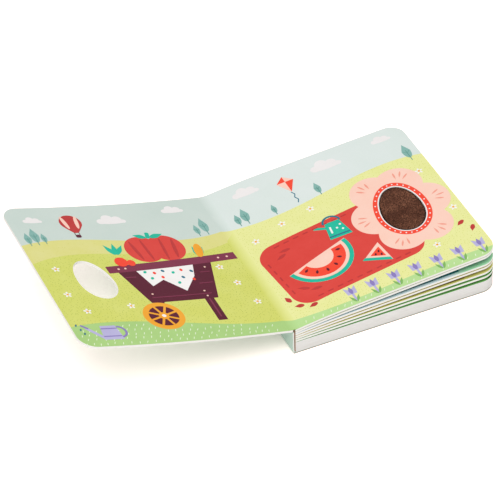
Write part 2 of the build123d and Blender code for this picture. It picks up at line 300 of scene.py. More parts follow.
@dataclass(frozen=True)
class Print:
    """Offset ink on coated paper under a satin film: even, faintly mottled colour.

    The film gives soft, broad highlights.  Dry-brush specks follow the painted look of
    the fields, and are drawn about half a millimetre wide so that they show.  A far ink
    takes over along x, and a gap shade ink fills a page inside its border: painted shade
    deep in the narrow gaps between leaves, where the border stays lit.  Sizes of the
    mottle, the grain and the specks are in millimetres.
    """

    name: str
    ink: str
    mottle: str
    mottle_size: float = 18.0
    grain_size: float = 0.7
    grain_share: float = 0.45
    speck: str = ""
    speck_spacing: float = 2.6
    speck_radius: float = 0.3
    speck_share: float = 0.5
    roughness: float = 0.46
    far_ink: str = ""
    far_start: float = mm(-94.9)
    far_end: float = mm(-85.7)
    gap_shade_ink: str = ""
    border: float = mm(1.6)
    border_fade: float = mm(0.9)
    half_page: Point = (mm(90), mm(91))

    def build(self) -> bpy.types.Material:
        """Make the material."""
        material, tree = new_material(self.name)
        place = add_node(tree, "ShaderNodeTexCoord").outputs["Object"]
        cloudy = add_node(
            tree,
            "ShaderNodeTexNoise",
            {"Scale": MM_PER_METRE / self.mottle_size, "Detail": 4.0, "Roughness": 0.6},
            {"Vector": place},
        )
        grain = add_node(
            tree,
            "ShaderNodeTexNoise",
            {"Scale": MM_PER_METRE / self.grain_size, "Detail": 2.0},
            {"Vector": place},
        )
        uneven = add_node(
            tree,
            "ShaderNodeMath",
            {"operation": "MULTIPLY_ADD", 1: self.grain_share},
            {0: grain.outputs["Fac"], 2: cloudy.outputs["Fac"]},
        )
        mottled = add_node(
            tree,
            "ShaderNodeMapRange",
            {"From Min": self.grain_share, "From Max": 1.0},
            {"Value": uneven.outputs[0]},
        )
        layers = [(mottled.outputs["Result"], self.mottle)]
        if self.far_ink:
            layers.append((self.far_side(tree, place), self.far_ink))
        # Painted shade: a darker ink deep inside the page, where the gap above it is shaded.
        if self.gap_shade_ink:
            layers.append((self.inside(tree, place), self.gap_shade_ink))
        if self.speck:
            layers.append((self.specks(tree, place), self.speck))
        film = add_node(
            tree,
            "ShaderNodeBump",
            {"Strength": 0.06, "Distance": mm(0.2)},
            {"Height": grain.outputs["Fac"]},
        )
        shader = add_node(
            tree,
            "ShaderNodeBsdfPrincipled",
            {"Roughness": self.roughness, "IOR": 1.48, "Specular IOR Level": 0.22},
            {
                "Base Color": lay_colours(tree, self.ink, layers),
                "Normal": film.outputs["Normal"],
            },
        )
        add_node(tree, "ShaderNodeOutputMaterial", None, {"Surface": shader.outputs[0]})
        return material

    def far_side(self, tree: Tree, place: Socket) -> Socket:
        """Tell the far ink from the near one.

        Args:
            tree: Node tree of the material.
            place: Place on the object.

        Returns:
            A share that grows from 0 to 1 where the far ink takes over.
        """
        split = add_node(tree, "ShaderNodeSeparateXYZ", None, {"Vector": place})
        limits = {"From Min": self.far_start, "From Max": self.far_end}
        across = add_node(tree, "ShaderNodeMapRange", limits, {"Value": split.outputs["X"]})
        return across.outputs["Result"]

    def inside(self, tree: Tree, place: Socket) -> Socket:
        """Tell the painted gap shade in the middle of a page from its lit border.

        Args:
            tree: Node tree of the material.
            place: Place on the object.

        Returns:
            A share that is 0 on the border and 1 in the middle.
        """
        split = add_node(tree, "ShaderNodeSeparateXYZ", None, {"Vector": place})
        along = add_node(
            tree, "ShaderNodeMath", {"operation": "ABSOLUTE"}, {0: split.outputs["Y"]}
        )
        shares = {}
        for number, value in enumerate((split.outputs["X"], along.outputs[0])):
            start = self.half_page[number] - self.border
            limits = {"From Min": start, "From Max": start - self.border_fade}
            ramp = add_node(tree, "ShaderNodeMapRange", limits, {"Value": value})
            shares[number] = ramp.outputs["Result"]
        return add_node(tree, "ShaderNodeMath", {"operation": "MULTIPLY"}, shares).outputs[0]

    def specks(self, tree: Tree, place: Socket) -> Socket:
        """Scatter small dots over the field.

        Args:
            tree: Node tree of the material.
            place: Place on the object.

        Returns:
            A share that is 1 on the dots.
        """
        cells = add_node(
            tree,
            "ShaderNodeTexVoronoi",
            {"voronoi_dimensions": "2D", "Scale": MM_PER_METRE / self.speck_spacing},
            {"Vector": place},
        )
        near = add_node(
            tree,
            "ShaderNodeMath",
            {"operation": "LESS_THAN", 1: self.speck_radius / self.speck_spacing},
            {0: cells.outputs["Distance"]},
        )
        chosen = add_node(
            tree,
            "ShaderNodeMath",
            {"operation": "LESS_THAN", 1: self.speck_share},
            {0: cells.outputs["Color"]},
        )
        both = {0: near.outputs[0], 1: chosen.outputs[0]}
        return add_node(tree, "ShaderNodeMath", {"operation": "MULTIPLY"}, both).outputs[0]


@dataclass(frozen=True)
class CutBoard:
    """Die-cut edge of grey-white solid board: matt, with faint fibre lines along it.

    The plies lie flat, so their pattern is drawn out sideways.  Their size is in
    millimetres.
    """

    name: str
    light: str
    dark: str
    ply: float = 0.45
    drawn_out: float = 0.06
    roughness: float = 0.82

    def build(self) -> bpy.types.Material:
        """Make the material."""
        material, tree = new_material(self.name)
        place = add_node(tree, "ShaderNodeTexCoord").outputs["Object"]
        flat = add_node(
            tree,
            "ShaderNodeMapping",
            {"Scale": (self.drawn_out, self.drawn_out, 1.0)},
            {"Vector": place},
        )
        plies = add_node(
            tree,
            "ShaderNodeTexNoise",
            {"Scale": MM_PER_METRE / self.ply, "Detail": 3.0, "Roughness": 0.7},
            {"Vector": flat.outputs["Vector"]},
        ).outputs["Fac"]
        limits = {"From Min": 0.35, "From Max": 0.75}
        streaks = add_node(tree, "ShaderNodeMapRange", limits, {"Value": plies})
        fibres = add_node(
            tree, "ShaderNodeBump", {"Strength": 0.25, "Distance": mm(0.05)}, {"Height": plies}
        )
        shader = add_node(
            tree,
            "ShaderNodeBsdfPrincipled",
            {"Roughness": self.roughness, "IOR": 1.5, "Specular IOR Level": 0.3},
            {
                "Base Color": lay_colours(
                    tree, self.light, [(streaks.outputs["Result"], self.dark)]
                ),
                "Normal": fibres.outputs["Normal"],
            },
        )
        add_node(tree, "ShaderNodeOutputMaterial", None, {"Surface": shader.outputs[0]})
        return material


@dataclass(frozen=True)
class WrappedCard:
    """Printed and laminated paper over card: bare card at cut edges, with painted shade on the cut
    edge of the back near the floor.
    """

    name: str
    ink: str
    mottle: str
    edge: str
    shaded_back_edge: str
    grain_size: float = 1.4
    shade_top: float = mm(1.05)

    def build(self) -> bpy.types.Material:
        """Make the material: faces across Y or at the fore-edge show the cut card."""
        material, tree = new_material(self.name)
        where = add_node(tree, "ShaderNodeTexCoord")
        grain = add_node(
            tree,
            "ShaderNodeTexNoise",
            {"Scale": MM_PER_METRE / self.grain_size, "Detail": 3.0},
            {"Vector": where.outputs["Object"]},
        )
        mottled = add_node(
            tree,
            "ShaderNodeMapRange",
            {"From Min": 0.3, "From Max": 0.8},
            {"Value": grain.outputs["Fac"]},
        )
        facing = add_node(
            tree, "ShaderNodeSeparateXYZ", None, {"Vector": where.outputs["Normal"]}
        )
        sideways = add_node(
            tree, "ShaderNodeMath", {"operation": "ABSOLUTE"}, {0: facing.outputs["Y"]}
        )
        either = add_node(
            tree,
            "ShaderNodeMath",
            {"operation": "MAXIMUM"},
            {0: sideways.outputs[0], 1: facing.outputs["X"]},
        )
        cut = add_node(
            tree, "ShaderNodeMath", {"operation": "GREATER_THAN", 1: 0.5}, {0: either.outputs[0]}
        ).outputs[0]
        # Painted shade: below shade_top the cut edge takes the darker colour, for the shade by the
        # floor.
        height = add_node(
            tree, "ShaderNodeSeparateXYZ", None, {"Vector": where.outputs["Object"]}
        ).outputs["Z"]
        above = add_node(
            tree, "ShaderNodeMath", {"operation": "GREATER_THAN", 1: self.shade_top}, {0: height}
        )
        unshaded_cut = add_node(
            tree, "ShaderNodeMath", {"operation": "MULTIPLY"}, {0: cut, 1: above.outputs[0]}
        )
        layers = [
            (mottled.outputs["Result"], self.mottle),
            (cut, self.shaded_back_edge),
            (unshaded_cut.outputs[0], self.edge),
        ]
        shader = add_node(
            tree,
            "ShaderNodeBsdfPrincipled",
            {"Roughness": 0.5, "IOR": 1.48, "Specular IOR Level": 0.3},
            {"Base Color": lay_colours(tree, self.ink, layers)},
        )
        add_node(tree, "ShaderNodeOutputMaterial", None, {"Surface": shader.outputs[0]})
        return material


@dataclass(frozen=True)
class Pile:
    """Short synthetic pile: matt brown, with painted sheen that turns it lighter in broad
    patches where the hairs lean over, and painted shade between the tufts.

    Sizes of the tufts and of the sheen patches are in millimetres.
    """

    name: str
    light: str
    middle: str
    dark: str
    tuft_size: float = 1.1
    sheen_patch_size: float = 14.0
    sheen: str = "A87A60"

    def build(self) -> bpy.types.Material:
        """Make the material."""
        material, tree = new_material(self.name)
        place = add_node(tree, "ShaderNodeTexCoord").outputs["Object"]
        tufts = add_node(
            tree,
            "ShaderNodeTexNoise",
            {"Scale": MM_PER_METRE / self.tuft_size, "Detail": 5.0, "Roughness": 0.75},
            {"Vector": place},
        ).outputs["Fac"]
        brushed = add_node(
            tree,
            "ShaderNodeTexNoise",
            {"Scale": MM_PER_METRE / self.sheen_patch_size, "Detail": 2.0},
            {"Vector": place},
        ).outputs["Fac"]
        # Painted sheen: broad patches take the light colour.
        leaning = add_node(
            tree, "ShaderNodeMapRange", {"From Min": 0.4, "From Max": 0.62}, {"Value": brushed}
        )
        # Painted shade: the dark colour fills in between the tufts.
        between = add_node(
            tree, "ShaderNodeMapRange", {"From Min": 0.6, "From Max": 0.44}, {"Value": tufts}
        )
        layers = [(leaning.outputs["Result"], self.light), (between.outputs["Result"], self.dark)]
        nap = add_node(
            tree, "ShaderNodeBump", {"Strength": 0.9, "Distance": mm(0.6)}, {"Height": tufts}
        )
        shader = add_node(
            tree,
            "ShaderNodeBsdfPrincipled",
            {
                "Roughness": 0.95,
                "Specular IOR Level": 0.1,
                "Sheen Weight": 0.35,
                "Sheen Roughness": 0.45,
                "Sheen Tint": linear(self.sheen),
            },
            {
                "Base Color": lay_colours(tree, self.middle, layers),
                "Normal": nap.outputs["Normal"],
            },
        )
        add_node(tree, "ShaderNodeOutputMaterial", None, {"Surface": shader.outputs[0]})
        return material


Finish = Print | CutBoard | WrappedCard | Pile


@dataclass(frozen=True)
class Guide:
    """Line in the X-Z plane along which a flat piece is bent, drawn from left to right.

    It leaves start towards corner, reaches end from corner, and runs straight to tip.
    flat_start is the x at which the flat piece meets the start of the line.
    """

    name: str
    start: Vector
    corner: Vector
    end: Vector
    flat_start: float
    tip: Vector | None = None
    steps: int = 96

    def raised(self, height: float) -> "Guide":
        """Move the line straight up.

        Args:
            height: How far up.

        Returns:
            The moved line.
        """
        lift = Vector((0, 0, height))
        tip = self.tip + lift if self.tip else None
        return Guide(
            self.name, self.start + lift, self.corner + lift, self.end + lift, self.flat_start, tip
        )

    def draw(self) -> Piece:
        """Draw the line.

        Returns:
            The line as a curve object.
        """
        shape = bpy.data.curves.new(self.name, "CURVE")
        shape.dimensions = "3D"
        shape.resolution_u = self.steps
        shape.use_deform_bounds = False
        spline = shape.splines.new("BEZIER")
        stops = [self.start, self.end] + ([self.tip] if self.tip else [])
        spline.bezier_points.add(len(stops) - 1)
        for stop, place in zip(spline.bezier_points, stops):
            stop.co = stop.handle_left = stop.handle_right = place
            stop.handle_left_type = stop.handle_right_type = "FREE"
        first, second = spline.bezier_points[0], spline.bezier_points[1]
        first.handle_right = self.start.lerp(self.corner, 2 / 3)
        second.handle_left = self.end.lerp(self.corner, 2 / 3)
        if self.tip:
            second.handle_right = self.end.lerp(self.tip, 1 / 3)
            spline.bezier_points[2].handle_left = self.end.lerp(self.tip, 2 / 3)
        line = bpy.data.objects.new(self.name, shape)
        bpy.context.scene.collection.objects.link(line)
        return line

    def lay(self, piece: Piece) -> None:
        """Bend a flat piece along the line.

        Args:
            piece: Mesh object drawn flat, with x from the gutter and z above the face.
        """
        line = self.draw()
        piece.location.x = -self.flat_start
        apply_place(piece)
        modifier = piece.modifiers.new("follow", "CURVE")
        modifier.object = line
        modifier.deform_axis = "POS_X"
        apply_modifiers(piece)
        bpy.data.objects.remove(line)


@dataclass(frozen=True)
class Egg:
    """Egg outline: two half ellipses that share their widest place."""

    from_gutter: float
    from_foot: float
    half_width: float
    blunt: float
    point: float
    lean: float

    def grown(self, reach: float) -> "Egg":
        """Draw the egg larger.

        Args:
            reach: How much farther out its rim is, or farther in below 0.

        Returns:
            The larger egg.
        """
        return replace(
            self,
            half_width=self.half_width + reach,
            blunt=self.blunt + reach,
            point=self.point + reach,
        )

    def rim_place(self, turn: float) -> Point:
        """Find a place on the outline.

        Args:
            turn: Turn from the egg's right-hand side, in radians.

        Returns:
            The place on the page, in millimetres.
        """
        lean = math.radians(self.lean)
        across = self.half_width * math.cos(turn)
        along = (self.point if math.sin(turn) > 0 else self.blunt) * math.sin(turn)
        x = self.from_gutter + across * math.cos(lean) - along * math.sin(lean)
        y = self.from_foot + across * math.sin(lean) + along * math.cos(lean)
        return x * MM_PER_METRE, y * MM_PER_METRE

    def draw(self, name: str, height: float, depth: float, rim: int = 96) -> Piece:
        """Make a closed flat-topped egg block.

        Args:
            name: Name of the block.
            height: Level of the block's top.
            depth: How far it goes down from there.
            rim: Number of points of the outline.

        Returns:
            The block.
        """
        deselect()
        bpy.ops.mesh.primitive_cylinder_add(vertices=rim, radius=self.half_width, depth=depth)
        block = bpy.context.object
        block.name = name
        for side, length in ((1, self.point), (-1, self.blunt)):
            choose(block, "VERT", lambda place: place.y * side > TOUCHING)
            bpy.ops.transform.resize(
                value=(1, length / self.half_width, 1), center_override=(0, 0, 0)
            )
            bpy.ops.object.mode_set(mode="OBJECT")
        block.rotation_euler.z = math.radians(self.lean)
        block.location = (self.from_gutter, self.from_foot - BOOK.height / 2, height - depth / 2)
        apply_place(block)
        return block


@dataclass(frozen=True)
class Book:
    """Sizes of the book that its pieces share, the same as in the solids.

    The flower's place is in millimetres, from the gutter and from the foot.
    """

    width: float = mm(180)
    height: float = mm(182)
    leaf: float = mm(2.05)
    leaves: int = 6
    pitch: float = mm(2.2)
    corner: float = mm(14)
    corner_steps: int = 16
    base_top: float = mm(11.6)
    gaps: tuple[float, ...] = (mm(2.9), mm(2.2), mm(4.0), mm(0.8), mm(6.3), mm(0.3))
    bend_reach: float = mm(26)
    top_slope: float = 0.16
    cover_width: float = mm(182)
    cover_rise: float = math.radians(16.3)
    cover_bow: float = mm(2.3)
    hinge_offset: float = mm(0.6)
    face_gap: float = mm(0.3)
    fold_start: float = mm(1.1)
    recess_depth: float = mm(1.0)
    flower: Point = (134.6, 84.1)

    @property
    def spine(self) -> float:
        """X of the leaves' glued edge."""
        return -self.width / 2

    @property
    def stack_top(self) -> float:
        """Level of the first leaf's upper face at the spine."""
        return self.base_top + self.leaves * self.pitch

    def leaf_guide(self, number: int) -> Guide:
        """Draw the line of a leaf's upper face.

        Args:
            number: Number of the leaf, counted from 1 at the base.

        Returns:
            The line from the spine to the fore-edge.
        """
        root = self.base_top + number * self.pitch
        rise = self.base_top + number * self.leaf + sum(self.gaps[:number]) - root
        start = Vector((self.spine, 0, root))
        slope = self.top_slope * number / self.leaves
        corner = start + Vector((self.bend_reach, 0, self.bend_reach * slope))
        tip = start + Vector((math.sqrt(self.width**2 - rise**2), 0, rise))
        end = corner + (tip - corner).normalized() * (corner - start).length
        return Guide(f"leaf_{number}_line", start, corner, end, 0.0, tip)

    def cover_guide(self) -> Guide:
        """Draw the line of the cover's inner face.

        Returns:
            The line from its fore-edge to the gutter.
        """
        chord = math.sqrt(self.cover_width**2 - 16 * self.cover_bow**2 / 3)
        radius = (chord**2 / 4 + self.cover_bow**2) / (2 * self.cover_bow)
        half = math.asin(chord / 2 / radius)
        along = Vector((math.cos(self.cover_rise), 0, -math.sin(self.cover_rise)))
        up = Vector((math.sin(self.cover_rise), 0, math.cos(self.cover_rise)))
        hinge = Vector((self.spine - self.hinge_offset, 0, self.stack_top + self.face_gap))
        gutter = hinge - up * self.face_gap
        fore_edge = gutter - along * chord
        corner = (gutter + fore_edge) / 2 - up * (chord / 2 * math.tan(half))
        return Guide("cover_line", fore_edge, corner, gutter, -self.cover_width)

    def window(self) -> Egg:
        """Egg window of the cover."""
        return Egg(mm(-137.0), mm(80.1), mm(14.9), mm(20.9), mm(28.5), 7.0)

    def recess(self) -> Egg:
        """Egg recess of the first leaf."""
        return Egg(mm(134.6), mm(80.1), mm(18.1), mm(24.1), mm(31.7), -7.0)


BOOK = Book()

# Painted shade: the left page's sky, meadow and grass are written darker than the same fields on
# the right page, for the shade on the tilted cover.
SKY_LEFT_SHADED = Print("sky_print_left_shaded", "C9D8D0", "D3DED7", mottle_size=60.0)
SKY_RIGHT = Print("sky_print_right", "DAE5DF", "E2EAE7", mottle_size=60.0)
HILL_LEFT = Print("hill_print_left", "DFDB82", "E3DF95", speck="D0CC6A", speck_share=0.3)
MEADOW_LEFT_SHADED = Print(
    "meadow_print_left_shaded", "D3D866", "DADE78", speck="A6B53C", speck_share=0.75
)
MEADOW_RIGHT = Print(
    "meadow_print_right", "E8EA98", "EDEEA6", speck="CDD36A", speck_share=0.75
)
GRASS_LEFT_SHADED = Print("grass_print_left_shaded", "A9CF7E", "B2D787")
GRASS_RIGHT = Print("grass_print_right", "B4DB8C", "C0E39E")
MAROON = Print("maroon_ink", "560F28", "5E142E")
PLUM = Print("plum_ink", "7A2A45", "85344F")
RED = Print("red_ink", "DA4037", "E14941")
DEEP_RED = Print("deep_red_ink", "BC3433", "C53C3A")
BRIGHT_RED = Print("bright_red_ink", "F4402A", "FB5238")
ORANGE = Print("orange_ink", "F3A01F", "F6AE35")
WHITE = Print("white_ink", "F4F1EE", "FBF8F6")
PINK = Print("pink_ink", "FDCDBA", "FDD6C6")
TEAL = Print("teal_ink", "16B899", "22C2A4")
LILAC = Print("lilac_ink", "B6B0DA", "BFBAE0")
VIOLET = Print("violet_ink", "8A7BBB", "9384C2")
CLOUD = Print("cloud_ink", "EEE9E7", "F3EFEE")
FAR_TREE = Print("far_tree_ink", "7FAFA7", "8DBBB2")
DARK_TREE = Print("dark_tree_ink", "5E968C", "6BA197")
INK_BLUE = Print("blue_ink", "2A6F86", "337A90")
CORAL = Print("coral_ink", "F39A86", "F6A894")
LEAF_GREEN = Print("leaf_green_ink", "7DB25C", "88BB66")
PALE_STROKE = Print("pale_green_ink", "E4F1CF", "ECF6DC")
BOARD = CutBoard("cut_board_edge", "FCF9F6", "F0E9E1")
BASE_BOARD = CutBoard("closed_board_edge", "EDEAE7", "E3DFDB", ply=0.7)
# 9A9C8C is painted shade on the back's cut edge by the floor.
MINT = WrappedCard("mint_wrap", "D2E8D8", "DCEFE1", "EFEDE6", "9A9C8C")
KRAFT = CutBoard("kraft_spine_lining", "CFA082", "B08062", ply=0.8)
BROWN_PILE = Pile("brown_pile", "94624B", "704534", "43281E")
# Painted shade: darker pile along the rim of the recess, where its wall shades the patch.
SHADED_PILE_RIM = Pile("brown_pile_painted_rim_shade", "3A2215", "26160E", "140B07")


class Paints:
    """Materials of the book, each made once."""

    def __init__(self) -> None:
        """Start with none made."""
        self.made: dict[str, bpy.types.Material] = {}

    def get(self, finish: Finish) -> bpy.types.Material:
        """Hand out the material of a finish, made when first asked for.

        Args:
            finish: The finish.

        Returns:
            Its material.
        """
        if finish.name not in self.made:
            self.made[finish.name] = finish.build()
        return self.made[finish.name]

    def dress(self, piece: Piece, *finishes: Finish) -> None:
        """Give a piece its materials.

        Args:
            piece: The piece.
            finishes: Its finishes, in the order of its slots.
        """
        piece.data.materials.clear()
        for finish in finishes:
            piece.data.materials.append(self.get(finish))


PAINTS = Paints()


def lay_sheet(name: str, left: float, right: float) -> Piece:
    """Lay down a flat sheet as tall as the book.

    Args:
        name: Name of the sheet.
        left: Where it starts along x.
        right: Where it ends.

    Returns:
        The sheet.
    """
    deselect()
    bpy.ops.mesh.primitive_plane_add(size=1)
    sheet = bpy.context.object
    sheet.name = name
    sheet.scale = (right - left, BOOK.height, 1)
    sheet.location.x = (left + right) / 2
    apply_place(sheet)
    return sheet


def die_cut(name: str, side: int, start: float, length: float) -> Piece:
    """Cut a flat leaf, square at the gutter and round at its fore-edge corners.

    Args:
        name: Name of the leaf.
        side: 1 for a leaf on the right of the gutter, -1 on the left.
        start: How far from the gutter it starts.
        length: How far from the gutter it ends.

    Returns:
        The leaf, with no thickness.
    """
    leaf = lay_sheet(name, *sorted((side * start, side * length)))
    choose(leaf, "VERT", lambda place: abs(place.x) > (start + length) / 2)
    bpy.ops.mesh.bevel(
        offset=BOOK.corner, segments=BOOK.corner_steps, profile=0.5, affect="VERTICES"
    )
    bpy.ops.object.mode_set(mode="OBJECT")
    return leaf


@dataclass
class BoardLeaf:
    """One die-cut board leaf, bent along a guide.

    The sheets' normals tell its faces apart: the upper and the lower print, whose lower
    edge is eased and printed too, and the bare cut edge between them.
    """

    name: str
    guide: Guide
    length: float
    side: int
    upper: Print | WrappedCard
    lower: Print | WrappedCard
    body: Body
    start: float = 0.0
    curl_step: float = mm(2.6)
    curled: float = mm(54)
    edge_round: float = mm(0.22)
    upper_facing: float = 0.9
    lower_facing: float = -0.3
    cutter: tuple[Egg, float, float] | None = None

    def build(self) -> Piece:
        """Make the leaf and bend it.

        Returns:
            The finished leaf, riding on its body.
        """
        leaf = die_cut(self.name, self.side, self.start, self.length)
        steps = range(1, int(self.curled / self.curl_step) + 1)
        cut_across(leaf, [self.side * (self.start + step * self.curl_step) for step in steps])
        thicken(leaf, BOOK.leaf)
        if self.cutter:
            self.cut_egg(leaf)
        ease_edges(leaf, self.edge_round, 50)
        PAINTS.dress(leaf, BOARD, self.upper, self.lower)
        for face in leaf.data.polygons:
            if face.normal.z > self.upper_facing and face.center.z >= -BOOK.leaf / 2:
                face.material_index = 1
            elif face.normal.z < self.lower_facing:
                face.material_index = 2
            else:
                face.material_index = 0
        self.guide.lay(leaf)
        shade_smooth(leaf, 20)
        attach(leaf, self.body.value)
        log.info("built %s", self.name)
        return leaf

    def cut_egg(self, leaf: Piece) -> None:
        """Cut the egg out of the flat leaf.

        Args:
            leaf: The flat leaf.
        """
        egg, top, depth = self.cutter
        block = egg.draw("cutter", top, depth)
        cut = leaf.modifiers.new("cut", "BOOLEAN")
        cut.operation = "DIFFERENCE"
        cut.solver = "EXACT"
        cut.object = block
        apply_modifiers(leaf)
        bpy.data.objects.remove(block)


@dataclass
class LeafFan:
    """The six leaves that spring open, and the lining behind their glued edges."""

    lining: float = mm(0.35)
    lining_low: float = mm(1.8)
    # Each page's gap shade ink is painted shade deep in the gap under the leaf above.
    upper_inks: tuple[Print, ...] = (
        Print("spread_green", "7CC45E", "8ACD6C", gap_shade_ink="46A012"),
        Print("spread_lime", "E6EC78", "ECF18C", gap_shade_ink="94700C", half_page=(mm(62), mm(91))),
        Print("spread_olive", "CFC650", "D6CE60", gap_shade_ink="BDB008"),
        Print(
            "spread_pale_blue",
            "DDF2F4",
            "E6F6F7",
            far_ink="B2F0BA",
            far_start=mm(48),
            far_end=mm(60),
            gap_shade_ink="1E8C88",
            border=mm(2.2),
            half_page=(mm(58), mm(91)),
        ),
        Print("spread_sage", "D2DBBC", "DAE1C8"),
        WHITE,
    )
    # Painted shade: each underside is a darker copy of the page it faces, so that the gaps between
    # leaves read dark.
    shaded_lower_inks: tuple[Print, ...] = (
        Print("spread_green_under", "3A9A18", "46A424"),
        Print("spread_leaf_under", "3F8F10", "4A991C"),
        Print("spread_lime_under_shaded", "8A620C", "946C18"),
        Print("spread_olive_under", "A89E14", "B1A722"),
        Print("spread_pale_blue_under_shaded", "2A8088", "348A92"),
        Print("spread_sage_under", "B4BE92", "BFC8A0"),
    )

    def build(self) -> None:
        """Make the leaves from the base up, then the spine's lining."""
        recess = (BOOK.recess(), BOOK.recess_depth, 2 * BOOK.recess_depth)
        for number, (upper, lower) in enumerate(zip(self.upper_inks, self.shaded_lower_inks), 1):
            leaf = BoardLeaf(
                f"leaf_{number}",
                BOOK.leaf_guide(number),
                BOOK.width,
                1,
                upper,
                lower,
                Body.BOOK,
                cutter=recess if number == BOOK.leaves else None,
            )
            leaf.build()
        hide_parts("page_block")
        self.line_spine()

    def line_spine(self) -> None:
        """Glue the brown lining strip over the leaves' edges, inside the hollow spine."""
        deselect()
        bpy.ops.mesh.primitive_cube_add(size=1)
        strip = bpy.context.object
        strip.name = "spine_lining"
        high = BOOK.stack_top - BOOK.leaf
        strip.scale = (self.lining, BOOK.height - 2 * self.lining, high - self.lining_low)
        strip.location = (BOOK.spine - self.lining / 2, 0, (high + self.lining_low) / 2)
        apply_place(strip)
        ease_edges(strip, self.lining / 4)
        PAINTS.dress(strip, KRAFT)
        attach(strip, Body.BOOK.value)
        log.info("built spine_lining")


@dataclass
class Base:
    """The closed leaves under the fan: one block with a printed top and eased edges."""

    bottom: float = mm(1.0)
    edge_round: float = mm(0.25)
    upper_facing: float = 0.9
    # The top ink's gap shade ink is painted shade deep in the gap under the first leaf.
    top_ink: Print = Print("spread_moss", "6CB257", "78BC63", gap_shade_ink="2F7A22")

    def build(self) -> None:
        """Make the block and let it stand for its solid."""
        block = die_cut("closed_leaves", 1, 0.0, BOOK.width)
        block.location = (BOOK.spine, 0, BOOK.base_top)
        apply_place(block)
        thicken(block, BOOK.base_top - self.bottom)
        ease_edges(block, self.edge_round, 50)
        PAINTS.dress(block, BASE_BOARD, self.top_ink)
        for face in block.data.polygons:
            face.material_index = int(face.normal.z > self.upper_facing)
        shade_smooth(block, 30)
        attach(block, Body.BOOK.value)
        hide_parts("base_block")
        log.info("built closed_leaves")


@dataclass
class CoverLeaf:
    """The front cover: a board leaf wrapped in mint paper outside, with the egg window."""

    curl_step: float = mm(4)
    window_depth: float = mm(6)

    def build(self) -> None:
        """Make the cover and let it stand for its solid."""
        cover = BoardLeaf(
            "cover_board",
            BOOK.cover_guide(),
            BOOK.cover_width,
            -1,
            WHITE,
            MINT,
            Body.COVER,
            start=BOOK.fold_start,
            curl_step=self.curl_step,
            curled=BOOK.cover_width - BOOK.corner,
            cutter=(BOOK.window(), self.window_depth / 2, self.window_depth),
        ).build()
        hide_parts("front_cover")


@dataclass
class Folds:
    """The two paper strips that cross the hinge: the printed gutter and the mint wrap.

    Each of the gutter's bounds between two fields is its level at the gutter, from the
    foot, and its slope.
    """

    reach: float = mm(4.6)
    thickness: float = mm(0.06)
    lift: float = mm(0.16)
    gutter_steps: int = 18
    blend_half: float = mm(2.0)
    bounds: tuple[Point, ...] = ((mm(11.3), -0.33), (mm(124.9), 1.36), (mm(132.3), -0.24))
    # Each field's far ink takes over across the gutter: painted shade fading from the left page's
    # darker copy to the right page's ink.
    fields: tuple[Print, ...] = (
        Print("grass_print_fold", "A9CF7E", "B2D787", far_ink="BADF95"),
        Print("meadow_print_fold", "D3D866", "DADE78", far_ink="EAEC9D"),
        Print("hill_print_fold", "DFDB82", "E3DF95", far_ink="EAEC9D"),
        Print("sky_print_fold", "C9D8D0", "D3DED7", far_ink="DEE8E3"),
    )
    wrap_bend: float = mm(1.5)
    wrap_down: float = mm(4)
    wrap_out: float = mm(7)
    wrap_steps: int = 24
    wrap_still: float = mm(0.6)
    wrap_moved: Point = (mm(2.2), mm(1.6))

    def build(self) -> None:
        """Make both strips."""
        self.gutter()
        self.wrap()

    def gutter(self) -> None:
        """Lay the printed fold over the gutter, in the four colours of the fields, each fading from
        its painted shade on the left to the right page's ink.
        """
        strip = lay_sheet("gutter_fold", -self.reach, self.reach)
        steps = range(1, self.gutter_steps)
        cut_across(strip, [self.reach * (2 * step / self.gutter_steps - 1) for step in steps])
        foot = -BOOK.height / 2
        bpy.ops.object.mode_set(mode="EDIT")
        for level, slope in self.bounds:
            bpy.ops.mesh.select_all(action="SELECT")
            bpy.ops.mesh.bisect(plane_co=(0, foot + level, 0), plane_no=(-slope, 1, 0))
        bpy.ops.object.mode_set(mode="OBJECT")
        thicken(strip, self.thickness)
        PAINTS.dress(strip, *self.fields)
        for face in strip.data.polygons:
            x, y, _ = face.center
            passed = [y > foot + level + slope * x for level, slope in self.bounds]
            face.material_index = sum(passed)
        leaf = BOOK.leaf_guide(BOOK.leaves)
        cover = BOOK.cover_guide()
        left = (cover.corner - cover.end).normalized()
        right = (leaf.corner - leaf.start).normalized()
        down = Vector((0, 0, BOOK.face_gap / 4))
        middle = (cover.end + leaf.start) / 2 - down
        Guide(
            "gutter_line",
            cover.end + left * self.reach,
            middle,
            leaf.start + right * self.reach,
            -self.reach,
        ).raised(self.lift).lay(strip)
        shade_smooth(strip, 30)
        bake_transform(strip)
        log.info("built gutter_fold")

    def wrap(self) -> None:
        """Carry the mint paper from the spine panel over the hinge to the cover."""
        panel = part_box("cover_wrap")[0].x - self.thickness
        panel_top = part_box("cover_wrap")[1].z
        cover = BOOK.cover_guide()
        left = (cover.corner - cover.end).normalized()
        out = Vector((left.z, 0, -left.x)).normalized()
        out = out if out.z < 0 else -out
        board = cover.end + out * (BOOK.leaf + self.thickness)
        bend = board + left * ((board.x - panel) / -left.x)
        guide = Guide(
            "wrap_line",
            bend + left * self.wrap_bend,
            bend,
            bend - Vector((0, 0, self.wrap_bend)),
            0.0,
            Vector((panel, 0, panel_top - self.wrap_down)),
        )
        down = self.wrap_down + bend.z - panel_top + self.wrap_bend / 2
        strip = lay_sheet("wrap_fold", -self.wrap_out, down)
        cut_across(strip, [down * step / self.wrap_steps for step in range(1, self.wrap_steps)])
        thicken(strip, self.thickness, 0)
        guide.lay(strip)
        PAINTS.dress(strip, MINT)
        shade_smooth(strip, 50)
        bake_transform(strip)
        log.info("built wrap_fold")


